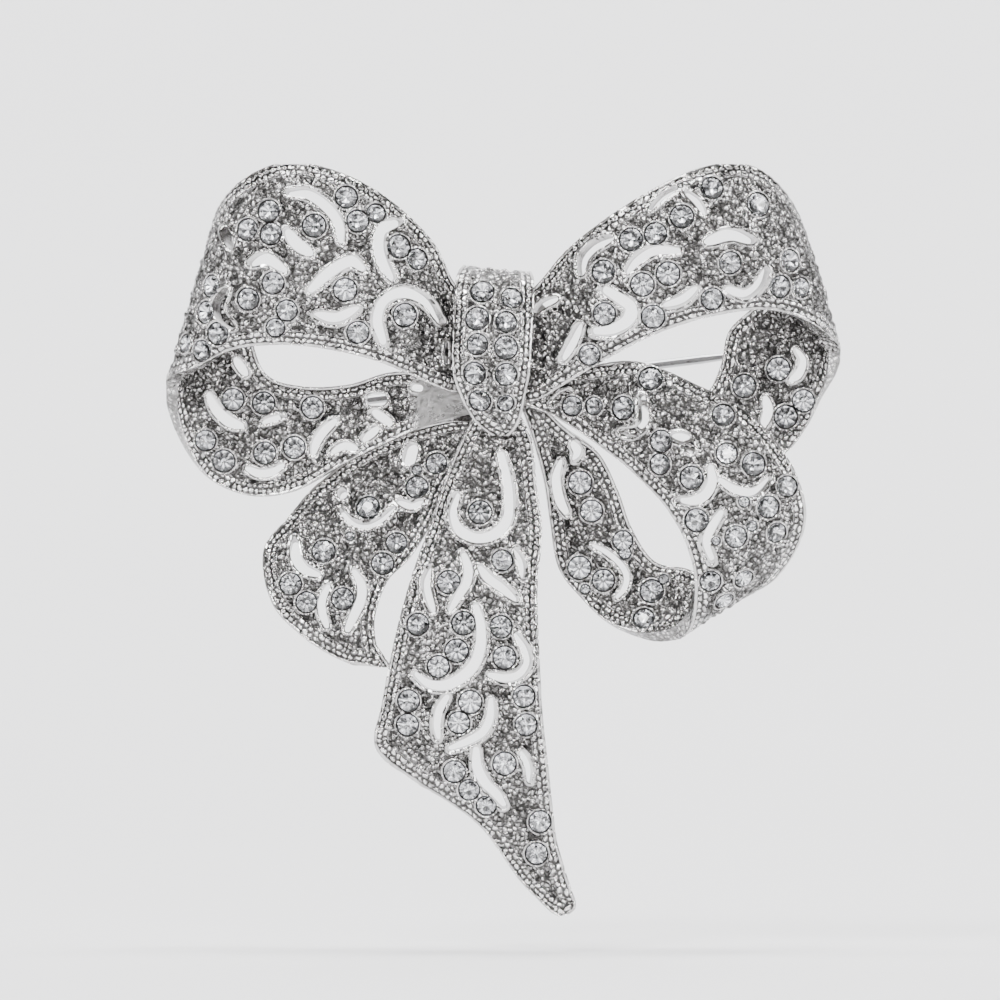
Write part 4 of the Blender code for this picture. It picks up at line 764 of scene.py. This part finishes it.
knot_ribs = (
    ((-3.0, 6.3), (2.5, 5.9), -1.5, -1.5, 0.0), ((-3.3, 6.8), (2.7, 6.2), -3.8, -3.8, 0.1),
    ((-3.8, 5.4), (2.8, 5.0), -5.9, -5.9, 0.5), ((-3.8, 1.6), (2.5, 1.3), -6.6, -6.6, 1.0),
    ((-3.8, -1.8), (2.3, -1.8), -6.8, -6.8, 1.0), ((-3.1, -4.0), (1.9, -4.0), -6.4, -6.4, 0.8),
    ((-2.1, -5.8), (1.5, -6.0), -5.9, -5.9, 0.4), ((-0.7, -7.0), (0.7, -7.2), -5.4, -5.4, 0.1))
knot_stones = (
    (-1.55, 5.1, 1.0), (1.05, 4.5, 0.9), (-2.0, 2.7, 1.0), (0.55, 2.4, 0.9),
    (-2.0, 0.45, 0.9), (0.55, 0.15, 1.0), (-2.25, -2.1, 0.95), (0.55, -2.2, 0.95),
    (-1.8, -4.5, 0.95), (0.5, -4.7, 0.7))
knot, knot_seats = cast_ribbon("knot_band", knot_ribs, 0, (), (), knot_stones, (), 16)
knot.data.materials.append(cast_finish("knot_plating", 0.40, 0.55))


# ---------------------------------------------------------------------------
# Stones. Machine-cut clear glass chatons with a foiled back, each glued in its
# cup. One cut serves all of them, at several sizes.

STONE_FIT = 0.97                     # share of the seat's radius
STONE_SINK = 0.05                    # of the girdle below the face, mm
STONE_TURN = 2.4                     # radians from one stone to the next

work = bmesh.new()
for sides, radius, height, turn in (
        (8, 0.5, 0.30, 0.0), (8, 0.78, 0.19, 0.5), (16, 1.0, 0.03, 0.25), (16, 1.0, -0.03, 0.25),
        (8, 0.05, -0.44, 0.0)):
    ring = bmesh.ops.create_circle(work, segments=sides, radius=radius)
    spin = Matrix.Rotation(2 * math.pi * turn / sides, 4, "Z")
    bmesh.ops.transform(work, matrix=Matrix.Translation((0, 0, height)) @ spin,
                        verts=ring["verts"])
bmesh.ops.convex_hull(work, input=work.verts[:])
bmesh.ops.dissolve_limit(work, angle_limit=math.radians(1.5), verts=work.verts[:],
                         edges=work.edges[:])
bmesh.ops.recalc_face_normals(work, faces=work.faces[:])
# Pavilion facets alternate in wedges between the bright foil and a copy with painted shade
for face in work.faces:
    middle = face.calc_center_median()
    wedge = int(math.atan2(middle.y, middle.x) / (math.pi / 8) + 16.001)
    if middle.z < -0.05:
        face.material_index = 1 + wedge % 2
cut_stone = bpy.data.meshes.new("cut_stone")
work.to_mesh(cut_stone)
work.free()

stones = bmesh.new()
number = 0
for seats in (upper_left_seats, upper_right_seats, lower_right_seats, lower_left_seats,
              centre_seats, knot_seats):
    for place, facing, radius in seats:
        number += 1
        start = len(stones.verts)
        stones.from_mesh(cut_stone)
        stones.verts.ensure_lookup_table()
        size = radius * STONE_FIT
        turn = Matrix.Rotation(number * STONE_TURN, 4, "Z")
        lean = facing.to_track_quat("Z", "Y").to_matrix().to_4x4()
        where = Matrix.Translation((place + DATUM - facing * STONE_SINK) * MM)
        bmesh.ops.transform(stones, matrix=where @ lean @ turn @ Matrix.Scale(size * MM, 4),
                            verts=stones.verts[start:])
mesh = bpy.data.meshes.new("set_stones")
stones.to_mesh(mesh)
stones.free()
set_stones = bpy.data.objects.new("set_stones", mesh)
bpy.context.scene.collection.objects.link(set_stones)
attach(set_stones, "bow")
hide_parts(*[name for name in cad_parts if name.startswith("stone_")])

crystal = bpy.data.materials.new("cut_crystal")
crystal.use_nodes = True
shader = crystal.node_tree.nodes["Principled BSDF"]
shader.inputs["Base Color"].default_value = (0.97, 0.98, 1.0, 1)
shader.inputs["Roughness"].default_value = 0.0
shader.inputs["Transmission Weight"].default_value = 1.0
shader.inputs["IOR"].default_value = 1.45
mesh.materials.append(crystal)
# The foil in two copies, bright and with painted shade at half brightness, alternating round the
# pavilion
for label, painted_light_tone in (("bright", 1.0), ("shaded", 0.5)):
    foil = bpy.data.materials.new("stone_foil_painted_light_" + label)
    foil.use_nodes = True
    shader = foil.node_tree.nodes["Principled BSDF"]
    shader.inputs["Base Color"].default_value = (painted_light_tone, painted_light_tone, painted_light_tone * 1.02, 1)
    shader.inputs["Metallic"].default_value = 1.0
    shader.inputs["Roughness"].default_value = 0.08
    mesh.materials.append(foil)


# ---------------------------------------------------------------------------
# Findings on the back, from the frame's own nodes, in plated and polished metal.
# Core, hinge bracket and catch body are soldered on, the pin stem hangs on its
# rivet, and the rotor turns on the catch body's tube.

def plain_finish(name, colour, rough):
    """Plated or polished metal, faintly mottled by handling."""
    made = bpy.data.materials.new(name)
    made.use_nodes = True
    tree = made.node_tree
    shader = tree.nodes["Principled BSDF"]
    shader.inputs["Metallic"].default_value = 1.0
    place = tree.nodes.new("ShaderNodeTexCoord")
    noise = tree.nodes.new("ShaderNodeTexNoise")
    noise.inputs["Scale"].default_value = 1500.0
    noise.inputs["Detail"].default_value = 6.0
    wire(tree, place.outputs["Object"], noise.inputs["Vector"])
    wire(tree, band(tree, noise.outputs["Fac"], 0.3, 0.7, rough, rough + 0.12),
         shader.inputs["Roughness"])
    wire(tree, blend_colour(tree, noise.outputs["Fac"], (*colour, 1),
                            tuple(c * 0.85 for c in colour) + (1,)),
         shader.inputs["Base Color"])
    relief = tree.nodes.new("ShaderNodeBump")
    relief.inputs["Distance"].default_value = 0.00003
    relief.inputs["Strength"].default_value = 0.6
    wire(tree, noise.outputs["Fac"], relief.inputs["Height"])
    wire(tree, relief.outputs[0], shader.inputs["Normal"])
    return made


for node, colour, rough in (("solder_core", (0.42, 0.412, 0.406), 0.3),
                            ("hinge_bracket", (0.56, 0.555, 0.55), 0.18),
                            ("hinge_rivet", (0.50, 0.495, 0.49), 0.2),
                            ("catch_body", (0.56, 0.555, 0.55), 0.18),
                            ("catch_rotor", (0.54, 0.535, 0.53), 0.16),
                            ("pin_stem", (0.42, 0.42, 0.425), 0.14)):
    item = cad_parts[node]
    item.data.materials.clear()
    item.data.materials.append(plain_finish(node + "_finish", colour, rough))


# ---------------------------------------------------------------------------
# Studio. A sweep of pale paper under soft rectangular lights, in a room of pale
# panels, and a level camera straight in front of the bow.

floor_level = -0.05    # m, as all sizes of the studio
half_wide = 1.0
floor = bmesh.new()
edge = [floor.verts.new((0, y, z)) for y, z in
        ((-1.2, floor_level), (0.10, floor_level), (0.16, floor_level + 0.006),
         (0.22, floor_level + 0.03), (0.26, floor_level + 0.08), (0.28, floor_level + 0.16),
         (0.285, 0.9))]
edges = [floor.edges.new((a, b)) for a, b in zip(edge, edge[1:])]
bmesh.ops.translate(floor, verts=floor.verts[:], vec=(-half_wide, 0, 0))
grown = bmesh.ops.extrude_edge_only(floor, edges=edges)
bmesh.ops.translate(floor, verts=[v for v in grown["geom"] if isinstance(v, bmesh.types.BMVert)],
                    vec=(2 * half_wide, 0, 0))
floor.normal_update()
for face in floor.faces:
    if face.normal.dot(Vector((0, -0.7, 1))) < 0:
        face.normal_flip()
mesh = bpy.data.meshes.new("studio_sweep")
floor.to_mesh(mesh)
floor.free()
mesh.shade_smooth()
sweep = bpy.data.objects.new("studio_sweep", mesh)
bpy.context.scene.collection.objects.link(sweep)
sweep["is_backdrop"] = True
paper = bpy.data.materials.new("studio_paper")
paper.use_nodes = True
shader = paper.node_tree.nodes["Principled BSDF"]
shader.inputs["Base Color"].default_value = (0.86, 0.86, 0.87, 1)
shader.inputs["Roughness"].default_value = 0.8
side = paper.node_tree.nodes.new("ShaderNodeNewGeometry")
clear = paper.node_tree.nodes.new("ShaderNodeBsdfTransparent")
either = paper.node_tree.nodes.new("ShaderNodeMixShader")
wire(paper.node_tree, side.outputs["Backfacing"], either.inputs[0])
wire(paper.node_tree, shader.outputs[0], either.inputs[1])
wire(paper.node_tree, clear.outputs[0], either.inputs[2])
wire(paper.node_tree, either.outputs[0],
     paper.node_tree.nodes["Material Output"].inputs["Surface"])
mesh.materials.append(paper)


def soft_box(name, place, target, width, height, power):
    """Rectangular light aimed at a point."""
    light = bpy.data.lights.new(name, "AREA")
    light.shape = "RECTANGLE"
    light.size = width
    light.size_y = height
    light.energy = power
    lamp = bpy.data.objects.new(name, light)
    lamp.location = place
    aim = Vector(target) - Vector(place)
    lamp.rotation_euler = aim.to_track_quat("-Z", "Y").to_euler()
    bpy.context.scene.collection.objects.link(lamp)


middle = (0.0, -0.005, -0.012)
soft_box("key", (-0.20, -0.44, 0.34), middle, 0.14, 0.14, 2.6)
soft_box("side", (0.44, -0.20, 0.10), middle, 0.07, 0.26, 1.5)
soft_box("left_strip", (-0.46, -0.08, -0.02), middle, 0.05, 0.30, 1.1)
soft_box("top", (0.05, -0.05, 0.46), middle, 0.26, 0.08, 2.0)
soft_box("low", (0.16, -0.46, -0.26), middle, 0.20, 0.05, 0.9)
soft_box("near", (0.14, -0.70, 0.14), middle, 0.06, 0.10, 1.5)
soft_box("near_left", (-0.16, -0.72, -0.05), middle, 0.03, 0.14, 0.9)
soft_box("backdrop", (0.0, 0.02, 0.60), (0.0, 0.28, 0.02), 0.9, 0.25, 6.5)

world = bpy.data.worlds.new("studio")
bpy.context.scene.world = world
world.use_nodes = True
sky = world.node_tree
facing = sky.nodes.new("ShaderNodeTexCoord")
panels = sky.nodes.new("ShaderNodeTexNoise")
panels.inputs["Scale"].default_value = 4.2
panels.inputs["Detail"].default_value = 1.5
wire(sky, facing.outputs["Generated"], panels.inputs["Vector"])
wire(sky, band(sky, panels.outputs["Fac"], 0.52, 0.58, 0.015, 0.95),
     sky.nodes["Background"].inputs["Strength"])
sky.nodes["Background"].inputs["Color"].default_value = (0.97, 0.96, 0.95, 1)

# Seen directly, the room is as plain and pale as the paper
room = sky.nodes.new("ShaderNodeBackground")
room.inputs["Color"].default_value = (0.86, 0.86, 0.87, 1)
room.inputs["Strength"].default_value = 2.0
ray = sky.nodes.new("ShaderNodeLightPath")
seen = sky.nodes.new("ShaderNodeMixShader")
wire(sky, ray.outputs["Is Camera Ray"], seen.inputs[0])
wire(sky, sky.nodes["Background"].outputs[0], seen.inputs[1])
wire(sky, room.outputs[0], seen.inputs[2])
wire(sky, seen.outputs[0], sky.nodes["World Output"].inputs["Surface"])

LENS = 411.4                         # mm, for a view 88.6 mm wide at the bow
camera_data = bpy.data.cameras.new("camera")
camera_data.lens = LENS
camera_data.sensor_width = 36.0
camera_data.clip_start = 0.01
camera_data.clip_end = 20.0
camera = bpy.data.objects.new("camera", camera_data)
camera.location = (0.0, -1.012, -0.010275)
camera.rotation_euler = (math.pi / 2, 0.0, 0.0)
bpy.context.scene.collection.objects.link(camera)
bpy.context.scene.camera = camera

size = {"cad": [list(corner) for corner in cad_box],
        "visual": [list(corner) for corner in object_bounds()]}
